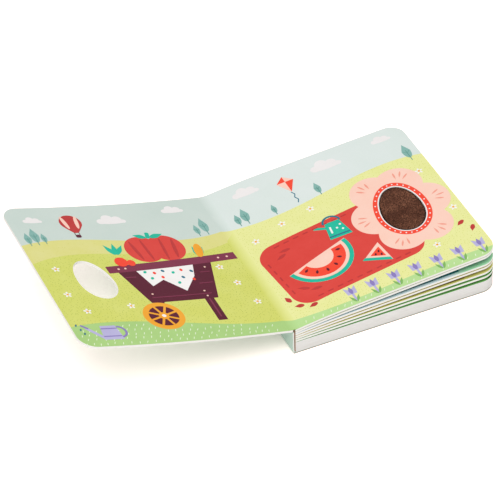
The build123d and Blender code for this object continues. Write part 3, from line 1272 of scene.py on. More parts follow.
@dataclass
class PilePatch:
    """Brown pile in the recess of the first leaf: a napped bed set with short hairs, darker along
    its rim as painted shade from the recess wall.
    """

    bed: float = mm(0.9)
    clearance: float = mm(0.35)
    hairs: int = 2600
    hair_length: float = mm(0.75)
    hair_radius: float = mm(0.16)
    hair_lift: float = 0.3
    hair_tilt: Point = (0.2, 1.0)
    hair_size: Point = (0.6, 1.15)
    # rim is the width of the bed's outer band, which takes the painted rim shade.
    rim: float = mm(0.9)
    shaded_rim_share: float = 0.87
    full_share: float = 0.97
    seed: int = 7

    def build(self) -> None:
        """Make the patch in its recess."""
        egg = BOOK.recess().grown(-self.clearance)
        top = self.bed - BOOK.recess_depth
        patch = egg.draw("pile", top, self.bed)
        choose(patch, "VERT", lambda place: place.z > top - self.bed / 2)
        bpy.ops.mesh.inset(thickness=self.rim)
        bpy.ops.object.mode_set(mode="OBJECT")
        # The outer band of the bed gets the darker pile: painted shade from the recess wall.
        PAINTS.dress(patch, BROWN_PILE, SHADED_PILE_RIM)
        for face in patch.data.polygons:
            face.material_index = int(not face.select)
        ease_edges(patch, self.bed / 3)
        patch = join([patch, self.plant(egg, top)], "brown_pile_patch")
        BOOK.leaf_guide(BOOK.leaves).lay(patch)
        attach(patch, Body.BOOK.value)
        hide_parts("pile_patch")
        log.info("built brown_pile_patch")

    def plant(self, egg: Egg, top: float) -> Piece:
        """Set leaning hairs all over the bed, darker ones along its rim as painted shade.

        Args:
            egg: Outline that the hairs stay within.
            top: Level of the bed's top.

        Returns:
            The hairs as one object.
        """
        rng = random.Random(self.seed)
        deselect()
        bpy.ops.mesh.primitive_cone_add(
            vertices=4, radius1=self.hair_radius, radius2=0, depth=self.hair_length
        )
        first = bpy.context.object
        middle = Vector((egg.from_gutter, egg.from_foot - BOOK.height / 2, 0))
        lean = math.radians(egg.lean)
        made = []
        while len(made) < self.hairs:
            across = rng.uniform(-1, 1)
            along = rng.uniform(-1, 1)
            outward = across**2 + along**2
            if outward > self.full_share:
                continue
            reach = egg.point if along > 0 else egg.blunt
            local = Vector((across * egg.half_width, along * reach, 0))
            place = middle + Matrix.Rotation(lean, 3, "Z") @ local
            place.z = top + self.hair_length * self.hair_lift
            hair = first.copy()
            hair.data = first.data.copy()
            # Hairs near the rim get the darker pile: painted shade from the recess wall.
            PAINTS.dress(hair, SHADED_PILE_RIM if outward > self.shaded_rim_share else BROWN_PILE)
            turn = Matrix.Rotation(rng.uniform(0, 2 * math.pi), 4, "Z")
            tilt = Matrix.Rotation(rng.uniform(*self.hair_tilt), 4, "X")
            tall = Matrix.Scale(rng.uniform(*self.hair_size), 4)
            hair.data.transform(Matrix.Translation(place) @ turn @ tilt @ tall)
            bpy.context.scene.collection.objects.link(hair)
            made.append(hair)
        bpy.data.objects.remove(first)
        return join(made, "hairs")


class Layer(Enum):
    """Heights of printed shapes over a page, in the order in which they are printed."""

    GROUND = mm(0.18)
    FIRST = mm(0.22)
    SECOND = mm(0.27)
    THIRD = mm(0.32)


@dataclass(frozen=True)
class Page:
    """An open page: where its print is laid, and where that is cut across to bend."""

    name: str
    body: Body
    guide: Guide
    cuts: tuple[float, ...]


def around(x: float, y: float, reach: float, turn: float) -> Point:
    """Find the place at a reach from a point.

    Args:
        x: Place of the point.
        y: Its other place.
        reach: How far the place is from it.
        turn: Direction in degrees, anticlockwise from +X.

    Returns:
        The place.
    """
    angle = math.radians(turn)
    return x + reach * math.cos(angle), y + reach * math.sin(angle)


class Ink:
    """One colour of a page's print, drawn as thin flat shapes.

    Places and sizes are in millimetres, from the gutter and from the foot.  Turns are in
    degrees, anticlockwise.
    """

    thickness: float = mm(0.12)
    sub_layers: int = 6
    sub_layer_height: float = mm(0.007)
    small: float = 4.0
    small_sides: int = 14
    large_sides: int = 40
    drop_sides: int = 24
    drop_taper: float = 0.8
    corner_share: float = 0.3
    arc_step: float = 9.0
    least_arc_steps: int = 6

    def __init__(self, name: str, finish: Print, layer: Layer) -> None:
        """Start a colour with nothing drawn yet.

        Args:
            name: Name of the colour on its page.
            finish: Finish of its shapes.
            layer: Height at which it is printed.
        """
        self.name = name
        self.finish = finish
        self.level = layer.value
        self.shapes: list[Piece] = []

    def keep(self, shape: Piece, x: float, y: float, turn: float) -> None:
        """Place a shape on the page, a little above the one before.

        Args:
            shape: Shape that was drawn about the origin with its top at zero.
            x: Place of its middle from the gutter.
            y: Place of its middle from the foot.
            turn: Turn of the shape.
        """
        level = self.level + self.sub_layer_height * (len(self.shapes) % self.sub_layers)
        shape.rotation_euler.z = math.radians(turn)
        shape.location = (mm(x), mm(y) - BOOK.height / 2, level)
        apply_place(shape)
        self.shapes.append(shape)

    def slab(self, sides: int, width: float, length: float) -> Piece:
        """Make a thin many-sided slab.

        Args:
            sides: Number of its sides.
            width: Its size along x.
            length: Its size along y.

        Returns:
            The slab, with its top at zero.
        """
        deselect()
        bpy.ops.mesh.primitive_cylinder_add(
            vertices=sides, radius=0.5, depth=1, location=(0, 0, -self.thickness / 2)
        )
        slab = bpy.context.object
        slab.scale = (mm(width), mm(length), self.thickness)
        apply_place(slab)
        return slab

    def dab(
        self, x: float, y: float, width: float, length: float = 0.0, turn: float = 0.0
    ) -> None:
        """Draw an ellipse, or a circle where no length is given."""
        sides = self.small_sides if width < self.small else self.large_sides
        self.keep(self.slab(sides, width, length or width), x, y, turn)

    def bar(self, x: float, y: float, width: float, length: float, turn: float = 0.0) -> None:
        """Draw a strip with eased corners.

        Args:
            x: Place of its middle from the gutter.
            y: Place of its middle from the foot.
            width: Its size along x before its turn.
            length: Its size along y before its turn.
            turn: Turn of the strip.
        """
        deselect()
        bpy.ops.mesh.primitive_cube_add(size=1, location=(0, 0, -self.thickness / 2))
        strip = bpy.context.object
        strip.scale = (mm(width), mm(length), self.thickness)
        apply_place(strip)
        choose(strip, "EDGE", lambda first, second: (first.xy - second.xy).length < TOUCHING)
        eased = mm(min(width, length)) * self.corner_share
        bpy.ops.mesh.bevel(offset=eased, segments=2, affect="EDGES")
        bpy.ops.object.mode_set(mode="OBJECT")
        self.keep(strip, x, y, turn)

    def drop(self, x: float, y: float, width: float, length: float, turn: float = 0.0) -> None:
        """Draw a drop.

        Args:
            x: Place of its middle from the gutter.
            y: Place of its middle from the foot.
            width: Its size along x before its turn.
            length: Its size along y before its turn, up to its point at +y.
            turn: Turn of the drop.
        """
        shape = self.slab(self.drop_sides, width, length)
        half = mm(length) / 2
        for vertex in shape.data.vertices:
            share = max(vertex.co.y / half, 0)
            vertex.co.x *= max(1 - share, 0) ** self.drop_taper
        self.keep(shape, x, y, turn)

    def outline(self, corners: Sequence[Point]) -> None:
        """Draw a shape with straight sides.

        Args:
            corners: Its corners on the page, in order.
        """
        deselect()
        bpy.ops.mesh.primitive_circle_add(vertices=len(corners), fill_type="NGON")
        shape = bpy.context.object
        for vertex, (x, y) in zip(shape.data.vertices, corners):
            vertex.co = (mm(x), mm(y), 0)
        bpy.ops.object.mode_set(mode="EDIT")
        bpy.ops.mesh.select_all(action="SELECT")
        bpy.ops.mesh.quads_convert_to_tris()
        bpy.ops.object.mode_set(mode="OBJECT")
        if shape.data.polygons[0].normal.z < 0:
            bpy.ops.object.mode_set(mode="EDIT")
            bpy.ops.mesh.flip_normals()
            bpy.ops.object.mode_set(mode="OBJECT")
        thicken(shape, self.thickness)
        self.keep(shape, 0, 0, 0)

    def arc(
        self, x: float, y: float, radius: float, width: float, first: float, last: float
    ) -> None:
        """Draw a curved strip.

        Args:
            x: Place of its centre from the gutter.
            y: Place of its centre from the foot.
            radius: Radius of its middle line.
            width: How wide it is.
            first: Angle at which it starts.
            last: Angle at which it ends.
        """
        steps = max(self.least_arc_steps, int(abs(last - first) / self.arc_step))
        angles = [first + (last - first) * step / steps for step in range(steps + 1)]
        outer = [around(x, y, radius + width / 2, angle) for angle in angles]
        inner = [around(x, y, radius - width / 2, angle) for angle in angles]
        self.outline(outer + inner[::-1])

    def press(self, page: Page) -> None:
        """Join the colour's shapes, bend them to the page and let them ride on it.

        Args:
            page: Page that is printed.
        """
        piece = join(self.shapes, f"{page.name}_{self.name}")
        places = [vertex.co.x for vertex in piece.data.vertices]
        low, high = min(places), max(places)
        cut_across(piece, [cut for cut in page.cuts if low < cut < high])
        page.guide.lay(piece)
        PAINTS.dress(piece, self.finish)
        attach(piece, page.body.value)
        log.info("built %s", piece.name)


LEFT_PAGE = Page(
    "left", Body.COVER, BOOK.cover_guide(), tuple(mm(-14.0 * step) for step in range(1, 13))
)
RIGHT_PAGE = Page(
    "right", Body.BOOK, BOOK.leaf_guide(BOOK.leaves), tuple(mm(6.5 * step) for step in range(9))
)


def height_of(line: tuple[Point, ...], x: float) -> float:
    """Find the height of a drawn line.

    Args:
        line: Points of the line from left to right, with straight runs between them.
        x: Where its height is wanted.

    Returns:
        The height there, or that of the last point where x is off the line.
    """
    for (left, low), (right, high) in zip(line, line[1:]):
        if left <= x <= right:
            return low + (high - low) * (x - left) / (right - left)
    return line[-1][1]


@dataclass
class Landscape:
    """What stands in the fields of a page: clouds, poplars, daisies and grass strokes.

    Clouds are given by place and width, poplars by foot and height, and bare spots by
    place and radius.  A puff's place and size are shares of the cloud's width.  A crown,
    a stem and a twig are placed and measured by shares of the poplar's height, but for
    the widths of stem and twig.
    """

    page: Page
    clouds: tuple[Triple, ...]
    poplars: tuple[Triple, ...]
    daisies: tuple[Point, ...]
    grass_line: tuple[Point, ...]
    grass_rows: int
    clear: tuple[Triple, ...] = ()
    puffs: tuple[tuple[float, float, float, float], ...] = (
        (-0.34, -0.02, 0.30, 0.26),
        (-0.10, 0.10, 0.40, 0.40),
        (0.20, 0.05, 0.34, 0.32),
        (0.38, -0.06, 0.22, 0.18),
        (0.02, -0.09, 0.82, 0.16),
    )
    crown_up: float = 0.58
    crown_size: Point = (0.36, 0.86)
    stem_up: float = 0.3
    stem_length: float = 0.66
    stem_width: float = 0.7
    twig_place: Point = (0.06, 0.5)
    twig_length: float = 0.2
    twig_width: float = 0.5
    twig_turn: float = 40.0
    petals: int = 5
    petal_reach: float = 2.1
    petal_size: Point = (1.7, 2.8)
    heart: float = 2.0
    margin: float = 5.0
    stroke_spacing: float = 6.4
    stroke_drift: float = 1.2
    first_row: float = 3.2
    row_spacing: float = 5.2
    row_drift: float = 0.8
    stroke_size: Point = (0.62, 2.7)
    stroke_turn: float = -24.0
    stroke_sway: float = 9.0
    stroke_room: float = 2.4
    seed: int = 3

    def build(self) -> None:
        """Print all four."""
        self.cloud_bank()
        self.tree_row()
        self.meadow_flowers()
        self.grass_strokes()

    def cloud_bank(self) -> None:
        """Print each cloud as puffs over a flat foot."""
        ink = Ink("clouds", CLOUD, Layer.GROUND)
        for x, y, width in self.clouds:
            for across, up, wide, high in self.puffs:
                ink.dab(x + width * across, y + width * up, width * wide, width * high)
        ink.press(self.page)

    def tree_row(self) -> None:
        """Print narrow far poplars, each with a stem and two twigs."""
        crowns = Ink("poplars", FAR_TREE, Layer.GROUND)
        stems = Ink("poplar_stems", DARK_TREE, Layer.FIRST)
        wide, tall = self.crown_size
        aside, twig_up = self.twig_place
        for x, y, height in self.poplars:
            crowns.drop(x, y + height * self.crown_up, height * wide, height * tall)
            stems.bar(x, y + height * self.stem_up, self.stem_width, height * self.stem_length)
            for side in (-1, 1):
                place = (x + side * height * aside, y + height * twig_up)
                length = height * self.twig_length
                stems.bar(*place, self.twig_width, length, -side * self.twig_turn)
        crowns.press(self.page)
        stems.press(self.page)

    def meadow_flowers(self) -> None:
        """Print small daisies."""
        petals = Ink("daisies", WHITE, Layer.FIRST)
        hearts = Ink("daisy_hearts", ORANGE, Layer.SECOND)
        for x, y in self.daisies:
            for number in range(self.petals):
                turn = 360 * number / self.petals
                petals.dab(*around(x, y, self.petal_reach, turn + 90), *self.petal_size, turn)
            hearts.dab(x, y, self.heart)
        petals.press(self.page)
        hearts.press(self.page)

    def grass_strokes(self) -> None:
        """Print rows of short slanted strokes over the grass."""
        rng = random.Random(self.seed)
        ink = Ink("grass_strokes", PALE_STROKE, Layer.GROUND)
        start = self.grass_line[0][0] + self.margin
        end = self.grass_line[-1][0] - self.margin
        for row in range(self.grass_rows):
            x = start + self.stroke_spacing * (row % 2) / 2
            while x < end:
                y = self.first_row + self.row_spacing * row
                y += rng.uniform(-self.row_drift, self.row_drift)
                tilt = self.stroke_turn + rng.uniform(-self.stroke_sway, self.stroke_sway)
                bare = any(math.hypot(x - left, y - low) < reach for left, low, reach in self.clear)
                if y < height_of(self.grass_line, x) - self.stroke_room and not bare:
                    ink.bar(x, y, *self.stroke_size, tilt)
                x += self.stroke_spacing + rng.uniform(-self.stroke_drift, self.stroke_drift)
        ink.press(self.page)


@dataclass
class Barrow:
    """Details of the garden barrow on the left page, and of its load.

    Strokes are given by place, width, length and turn.  The pumpkin's ribs are given by
    distance from its middle, width, length and turn, and a tuft by its root, how far its
    leaves are from there, their width and length, and their turns.
    """

    joints: tuple[Stroke, ...] = (
        (-73, 56.5, 1.0, 52, 90),
        (-46, 70, 1.0, 12, 90),
        (-41, 84, 1.0, 9, 90),
        (-106, 84, 1.0, 9, 90),
        (-52, 38, 1.4, 24, 0),
    )
    rim_middle: Point = (-64.0, 98.0)
    rim_turn: float = 3.0
    rim_bolts: tuple[float, ...] = (-112, -106, -22, -14)
    rim_bolt: float = 2.0
    bolts: tuple[Point, ...] = ((-52, 60), (-52, 53.5), (-97, 61), (-38.5, 90))
    bolt: float = 1.7
    wheel: Point = (-99.0, 33.0)
    wheel_radius: float = 17.0
    wheel_middle: float = 1.44
    spokes: int = 4
    spoke_width: float = 2.0
    spoke_length: float = 1.46
    first_spoke: float = 20.0
    hub: float = 8.5
    axle: float = 3.6
    pumpkin: Point = (-70.0, 118.0)
    ribs: tuple[tuple[float, float, float, float], ...] = ((17, 3.2, 26, 8), (7.5, 2.6, 29, 4))
    stalk: Stroke = (-69.5, 137, 3.6, 8, -12)
    stalk_leaves: tuple[Stroke, ...] = ((-62, 136, 5.5, 13, -74), (-77, 136.5, 5, 11, 66))
    tufts: tuple[tuple[float, float, float, float, float, tuple[float, ...]], ...] = (
        (-106, 113, 9, 4.4, 15, (-34, -6, 24)),
        (-36, 105, 6, 5, 14, (-30, 10)),
    )
    roots: tuple[tuple[float, float, float, float], ...] = (
        (-106, 104.5, 11, 12),
        (-98, 102.5, 7, 8),
    )
    cob: Stroke = (-34.5, 112, 7.5, 18, -10)
    spot_size: Point = (2.6, 3.4)
    spot_turn: float = 35.0
    spot_inks: tuple[tuple[Print, str], ...] = (
        (TEAL, "teal"),
        (BRIGHT_RED, "bright_red"),
        (INK_BLUE, "teal"),
    )
    confetti: tuple[Point, ...] = (
        (-91.5, 89.5),
        (-84, 87.5),
        (-76, 89.5),
        (-68, 86.5),
        (-60, 89),
        (-52, 86.5),
        (-88.5, 81),
        (-79, 81.5),
        (-62, 79.5),
        (-68, 73),
        (-54, 76),
    )

    def build(self) -> None:
        """Print the parts of the barrow and its load."""
        self.planks()
        self.wheel_parts()
        self.load()
        self.cloth()

    def planks(self) -> None:
        """Print the joints between the planks, the bolts of the rim and of the tray."""
        joints = Ink("plank_joints", PLUM, Layer.GROUND)
        for joint in self.joints:
            joints.bar(*joint)
        joints.press(LEFT_PAGE)
        bolts = Ink("bolts", PINK, Layer.FIRST)
        across, up = self.rim_middle
        lean = math.tan(math.radians(self.rim_turn))
        for x in self.rim_bolts:
            bolts.dab(x, up + (x - across) * lean, self.rim_bolt)
        for x, y in self.bolts:
            bolts.dab(x, y, self.bolt)
        bolts.press(LEFT_PAGE)

    def wheel_parts(self) -> None:
        """Print the wheel's open middle, its spokes with the hub, and the axle's end."""
        x, y = self.wheel
        middle = Ink("wheel_middle", MAROON, Layer.FIRST)
        middle.dab(x, y, self.wheel_middle * self.wheel_radius)
        middle.press(LEFT_PAGE)
        spokes = Ink("spokes", ORANGE, Layer.SECOND)
        for number in range(self.spokes):
            turn = self.first_spoke + 180 * number / self.spokes
            spokes.bar(x, y, self.spoke_width, self.spoke_length * self.wheel_radius, turn)
        spokes.dab(x, y, self.hub)
        spokes.press(LEFT_PAGE)
        axle = Ink("hub", WHITE, Layer.THIRD)
        axle.dab(x, y, self.axle)
        axle.press(LEFT_PAGE)

    def load(self) -> None:
        """Print the pumpkin's ribs and stalk, and the roots and the cob beside it."""
        x, y = self.pumpkin
        shade = Ink("pumpkin_shade", DEEP_RED, Layer.GROUND)
        for side in (-1, 1):
            for out, width, length, turn in self.ribs:
                shade.dab(x + out * side, y, width, length, -turn * side)
        shade.press(LEFT_PAGE)
        leaves = Ink("load_leaves", TEAL, Layer.FIRST)
        leaves.bar(*self.stalk)
        for leaf in self.stalk_leaves:
            leaves.drop(*leaf)
        for root_x, root_y, reach, width, length, turns in self.tufts:
            for turn in turns:
                leaves.drop(*around(root_x, root_y, reach, turn + 90), width, length, turn)
        leaves.press(LEFT_PAGE)
        roots = Ink("radishes", BRIGHT_RED, Layer.SECOND)
        for root in self.roots:
            roots.dab(*root)
        roots.press(LEFT_PAGE)
        cob = Ink("corn_cob", ORANGE, Layer.SECOND)
        cob.dab(*self.cob)
        cob.press(LEFT_PAGE)

    def cloth(self) -> None:
        """Print the spots of the cloth, in three colours by turns."""
        for number, (finish, slot) in enumerate(self.spot_inks):
            ink = Ink(f"cloth_spots_{number}", finish, Layer.FIRST)
            for x, y in self.confetti[number::len(self.spot_inks)]:
                ink.dab(x, y, *self.spot_size, self.spot_turn * (number - 1))
            ink.press(LEFT_PAGE)


@dataclass
class WateringCan:
    """Small lilac can in the grass of the left page.

    Strokes are given by place, width, length and turn.
    """

    tank: tuple[Point, ...] = ((-160, 8), (-143, 8), (-145, 25), (-158, 25))
    spout: tuple[Point, ...] = ((-157, 10), (-169, 24), (-171.5, 22.5), (-159.5, 8.5))
    handle: Point = (-145, 17)
    handle_radius: float = 6.5
    handle_width: float = 1.8
    handle_angles: Point = (-78, 84)
    trims: tuple[Stroke, ...] = (
        (-171, 24.5, 1.8, 7, 48),
        (-151.5, 12, 1.2, 15.4, 90),
        (-151.5, 21.5, 1.2, 14, 90),
    )
    water: tuple[Stroke, ...] = (
        (-175, 21.5, 1.6, 3.4, -24),
        (-177, 27, 1.6, 3.4, -24),
        (-173.5, 16.5, 1.6, 3.4, -24),
    )

    def build(self) -> None:
        """Print the can, its handle, rose and bands, and the water."""
        can = Ink("can", LILAC, Layer.FIRST)
        can.outline(self.tank)
        can.outline(self.spout)
        can.press(LEFT_PAGE)
        trim = Ink("can_trim", VIOLET, Layer.SECOND)
        trim.arc(*self.handle, self.handle_radius, self.handle_width, *self.handle_angles)
        for stroke in self.trims:
            trim.bar(*stroke)
        trim.press(LEFT_PAGE)
        water = Ink("water", INK_BLUE, Layer.FIRST)
        for drop in self.water:
            water.drop(*drop)
        water.press(LEFT_PAGE)


@dataclass
class Balloon:
    """Striped hot-air balloon in the sky of the left page.

    Its parts are placed from its middle.
    """

    middle: Point = (-128.0, 160.0)
    size: Point = (19.0, 20.0)
    skirt: tuple[Point, ...] = ((-7, -7), (7, -7), (2, -14), (-2, -14))
    stripe_out: float = 5.2
    stripe_size: Point = (3.4, 17.4)
    stripe_turn: float = 8.0
    basket_down: float = 18.5
    basket_size: Point = (4.6, 3.8)
    rope_place: Point = (1.9, 15.5)
    rope_size: Point = (0.5, 4.0)

    def build(self) -> None:
        """Print the balloon in three colours."""
        x, y = self.middle
        body = Ink("balloon", DEEP_RED, Layer.FIRST)
        body.dab(x, y, *self.size)
        body.outline([(x + across, y + up) for across, up in self.skirt])
        body.press(LEFT_PAGE)
        stripes = Ink("balloon_stripes", PINK, Layer.SECOND)
        for side in (-1, 1):
            turn = -self.stripe_turn * side
            stripes.dab(x + self.stripe_out * side, y, *self.stripe_size, turn)
        stripes.press(LEFT_PAGE)
        basket = Ink("balloon_basket", MAROON, Layer.SECOND)
        basket.bar(x, y - self.basket_down, *self.basket_size)
        out, down = self.rope_place
        for side in (-1, 1):
            basket.bar(x + out * side, y - down, *self.rope_size)
        basket.press(LEFT_PAGE)


@dataclass
class Picnic:
    """Details of the blanket, the melons, the jug and the kite on the right page.

    Strokes are given by place, width, length and turn.  Rind and blush of the half melon
    are given by how far inside its edge they lie, their width and how many degrees they
    stop short of its cut.
    """

    blanket: Point = (71.0, 63.0)
    length: float = 122.0
    width: float = 78.0
    turn: float = 6.0
    stitch_size: Point = (1.3, 5.0)
    stitch_spacing: float = 1.7
    stitch_inset: float = 4.2
    corner: float = 16.0
    folds: tuple[Triple, ...] = ((-48, -20, 60), (-40, -26, 85), (-44, 22, 110), (-38, 27, 90))
    fold_size: Point = (3.2, 10.0)
    flower_reach: Point = (46.0, 55.0)
    melon: Point = (50.0, 66.0)
    melon_radius: float = 30.0
    melon_turn: float = 18.0
    rind: Triple = (1.8, 3.6, 1.0)
    blush: Triple = (11.5, 10.0, 8.0)
    seeds: int = 6
    seed_inside: float = 12.0
    seed_short: float = 20.0
    seed_size: Point = (2.2, 4.4)
    wedge_rind: tuple[Point, ...] = ((79.6, 42.5), (101.7, 32.5), (101.3, 36.1), (82.6, 44.6))
    wedge_blush: tuple[Point, ...] = ((87.5, 44.6), (99.0, 39.4), (97.9, 51.8))
    wedge_seeds: tuple[Stroke, ...] = (
        (92.2, 44.6, 1.6, 3.2, -24),
        (96.6, 42.7, 1.6, 3.2, -24),
        (95.9, 47.0, 1.6, 3.2, -24),
    )
    jug_handle: Point = (78, 97)
    handle_radius: float = 7.5
    handle_width: float = 1.8
    handle_angles: Point = (4, 176)
    jug_band: Stroke = (78, 81, 1.4, 18.6, 90)
    jug_shine: Stroke = (73.5, 88.5, 1.6, 8, -8)
    jug_spots: tuple[Point, ...] = ((79, 89), (83, 86), (83, 92))
    jug_spot: float = 2.0
    kite_crossing: Point = (66.0, 162.0)
    kite_down: float = 14.0
    kite_up: float = 7.0
    kite_out: float = 7.5
    tail_start: float = 16.0
    tail_step: float = 3.6
    tail_knots: int = 4
    knot_size: Point = (0.8, 4.4)
    knot_turn: float = 26.0
    berry_size: Point = (4.0, 8.0)
    rolled: tuple[Triple, ...] = (
        (14, 22, 70),
        (24, 17, 100),
        (9, 33, 20),
        (168, 44, 120),
        (174, 34, 150),
    )

    def build(self) -> None:
        """Print all the details."""
        self.stitches()
        self.fruit()
        self.jug()
        self.kite()
        self.berries()

    def on_blanket(self, along: float, up: float) -> Point:
        """Find a place on the blanket.

        Args:
            along: How far it is from the blanket's middle along its long sides.
            up: How far along its short sides.

        Returns:
            The place on the page.
        """
        turn = math.radians(self.turn)
        x = self.blanket[0] + along * math.cos(turn) - up * math.sin(turn)
        y = self.blanket[1] + along * math.sin(turn) + up * math.cos(turn)
        return x, y

    def under_flower(self, x: float, y: float) -> bool:
        """Tell whether the big flower covers a point.

        Args:
            x: Place of the point from the gutter.
            y: Place of the point from the foot.

        Returns:
            True where it does.
        """
        across = (x - BOOK.flower[0]) / self.flower_reach[0]
        along = (y - BOOK.flower[1]) / self.flower_reach[1]
        return across**2 + along**2 < 1

    def stitches(self) -> None:
        """Print a hem of stitches round the blanket, and drops of shade on it."""
        ink = Ink("blanket_stitches", DEEP_RED, Layer.GROUND)
        half_length = self.length / 2 - self.stitch_inset
        half_width = self.width / 2 - self.stitch_inset
        sides = (
            (half_length - self.corner, half_width, 90),
            (half_width - self.corner, half_length, 0),
        )
        for reach, off, turn in sides:
            count = int(2 * reach / (self.stitch_spacing * self.stitch_size[1]))
            for number in range(count + 1):
                run = reach * (2 * number / count - 1)
                for side in (-1, 1):
                    local = (run, off * side) if turn else (off * side, run)
                    x, y = self.on_blanket(*local)
                    if not self.under_flower(x, y):
                        ink.bar(x, y, *self.stitch_size, self.turn + turn)
        for along, up, turn in self.folds:
            ink.drop(*self.on_blanket(along, up), *self.fold_size, turn)
        ink.press(RIGHT_PAGE)

    def half_ring(self, ink: Ink, ring: Triple) -> None:
        """Draw a curved strip along the round side of the half melon.

        Args:
            ink: Colour of the strip.
            ring: How far inside the edge it lies, its width, and how far it stops short.
        """
        inside, width, short = ring
        first = 180 + short + self.melon_turn
        last = 360 - short + self.melon_turn
        ink.arc(*self.melon, self.melon_radius - inside, width, first, last)

    def fruit(self) -> None:
        """Print the rind, the blush and the seeds of the half melon and of the wedge."""
        rind = Ink("melon_rind", TEAL, Layer.FIRST)
        self.half_ring(rind, self.rind)
        rind.outline(self.wedge_rind)
        rind.press(RIGHT_PAGE)
        blush = Ink("melon_blush", BRIGHT_RED, Layer.GROUND)
        self.half_ring(blush, self.blush)
        blush.outline(self.wedge_blush)
        blush.press(RIGHT_PAGE)
        seeds = Ink("melon_seeds", MAROON, Layer.SECOND)
        reach = self.melon_radius - self.seed_inside
        first = 180 + self.seed_short + self.melon_turn
        run = 180 - 2 * self.seed_short
        for number in range(self.seeds):
            angle = first + run * number / (self.seeds - 1)
            seeds.drop(*around(*self.melon, reach, angle), *self.seed_size, angle + 90)
        for seed in self.wedge_seeds:
            seeds.drop(*seed)
        seeds.press(RIGHT_PAGE)

    def jug(self) -> None:
        """Print the jug's handle, its band and its shine."""
        trim = Ink("jug_trim", INK_BLUE, Layer.FIRST)
        trim.arc(*self.jug_handle, self.handle_radius, self.handle_width, *self.handle_angles)
        trim.bar(*self.jug_band)
        trim.press(RIGHT_PAGE)
        shine = Ink("jug_shine", WHITE, Layer.FIRST)
        shine.bar(*self.jug_shine)
        for x, y in self.jug_spots:
            shine.dab(x, y, self.jug_spot)
        shine.press(RIGHT_PAGE)

    def kite(self) -> None:
        """Print a kite with its tail in the sky."""
        x, y = self.kite_crossing
        foot, head = (x, y - self.kite_down), (x, y + self.kite_up)
        left, right = (x - self.kite_out, y), (x + self.kite_out, y)
        sail = Ink("kite", PINK, Layer.FIRST)
        sail.outline([foot, right, head, left])
        sail.press(RIGHT_PAGE)
        cross = Ink("kite_cross", BRIGHT_RED, Layer.SECOND)
        cross.outline([foot, right, self.kite_crossing])
        cross.outline([head, left, self.kite_crossing])
        cross.press(RIGHT_PAGE)
        tail = Ink("kite_tail", INK_BLUE, Layer.FIRST)
        for number in range(self.tail_knots):
            turn = self.knot_turn * (-1) ** number
            down = self.tail_start + self.tail_step * number
            tail.bar(x, y - down, *self.knot_size, turn)
        tail.press(RIGHT_PAGE)

    def berries(self) -> None:
        """Print berries that rolled off the blanket."""
        fruit = Ink("berries", DEEP_RED, Layer.FIRST)
        for x, y, turn in self.rolled:
            fruit.drop(x, y, *self.berry_size, turn)
        fruit.press(RIGHT_PAGE)


@dataclass
class Flowers:
    """Details of the big flower and of the tulips on the right page."""

    petals: int = 6
    petals_across: float = 46.0
    petals_along: float = 64.0
    crease_spread: float = 0.42
    crease_out: float = 12.0
    crease_back: float = 1.5
    crease_size: Point = (1.6, 8.0)
    ring_out: float = mm(3.0)
    ring_dots: int = 30
    ring_dot: float = 1.3
    rim_out: float = mm(0.95)
    rim_in: float = mm(0.05)
    rim_steps: int = 24
    tulips: int = 7
    tulip_start: float = 56.0
    tulip_end: float = 170.0
    leaf_place: Point = (2.3, 6.5)
    leaf_size: Point = (2.2, 8.5)
    leaf_turn: float = 26.0
    shade_up: float = 16.6
    shade_size: Point = (3.4, 8.6)

    def build(self) -> None:
        """Print the details of the flowers."""
        self.creases()
        self.dots()
        self.cut_rim()
        self.tulip_row()

    def creases(self) -> None:
        """Print creases that run outwards on each petal."""
        ink = Ink("petal_creases", CORAL, Layer.GROUND)
        for number in range(self.petals):
            turn = 2 * math.pi * number / self.petals
            x = BOOK.flower[0] + self.petals_across / 2 * math.cos(turn)
            y = BOOK.flower[1] + self.petals_along / 2 * math.sin(turn)
            for side in (-1, 0, 1):
                out = math.degrees(turn + self.crease_spread * side)
                reach = self.crease_out - self.crease_back * abs(side)
                ink.drop(*around(x, y, reach, out), *self.crease_size, out + 90)
        ink.press(RIGHT_PAGE)

    def dots(self) -> None:
        """Print a round of white dots on the ring about the patch."""
        ink = Ink("ring_dots", WHITE, Layer.GROUND)
        ring = BOOK.recess().grown(self.ring_out)
        for number in range(self.ring_dots):
            place = ring.rim_place(2 * math.pi * number / self.ring_dots)
            ink.dab(*place, self.ring_dot)
        ink.press(RIGHT_PAGE)

    def cut_rim(self) -> None:
        """Leave the board's white edge bare all round the recess, in four quarters."""
        ink = Ink("recess_rim", WHITE, Layer.GROUND)
        outer = BOOK.recess().grown(self.rim_out)
        inner = BOOK.recess().grown(self.rim_in)
        for quarter in range(4):
            steps = range(self.rim_steps + 1)
            turns = [math.pi / 2 * (quarter + step / self.rim_steps) for step in steps]
            outside = [outer.rim_place(turn) for turn in turns]
            inside = [inner.rim_place(turn) for turn in turns]
            ink.outline(outside + inside[::-1])
        ink.press(RIGHT_PAGE)

    def tulip_row(self) -> None:
        """Print the leaves of the tulips and the shade in their cups."""
        leaves = Ink("tulip_leaves", LEAF_GREEN, Layer.FIRST)
        shade = Ink("tulip_shade", VIOLET, Layer.FIRST)
        out, up = self.leaf_place
        for number in range(self.tulips):
            share = number / (self.tulips - 1)
            x = self.tulip_start + (self.tulip_end - self.tulip_start) * share
            for side in (-1, 1):
                leaves.drop(x + out * side, up, *self.leaf_size, -self.leaf_turn * side)
            shade.drop(x, self.shade_up, *self.shade_size)
        leaves.press(RIGHT_PAGE)
        shade.press(RIGHT_PAGE)


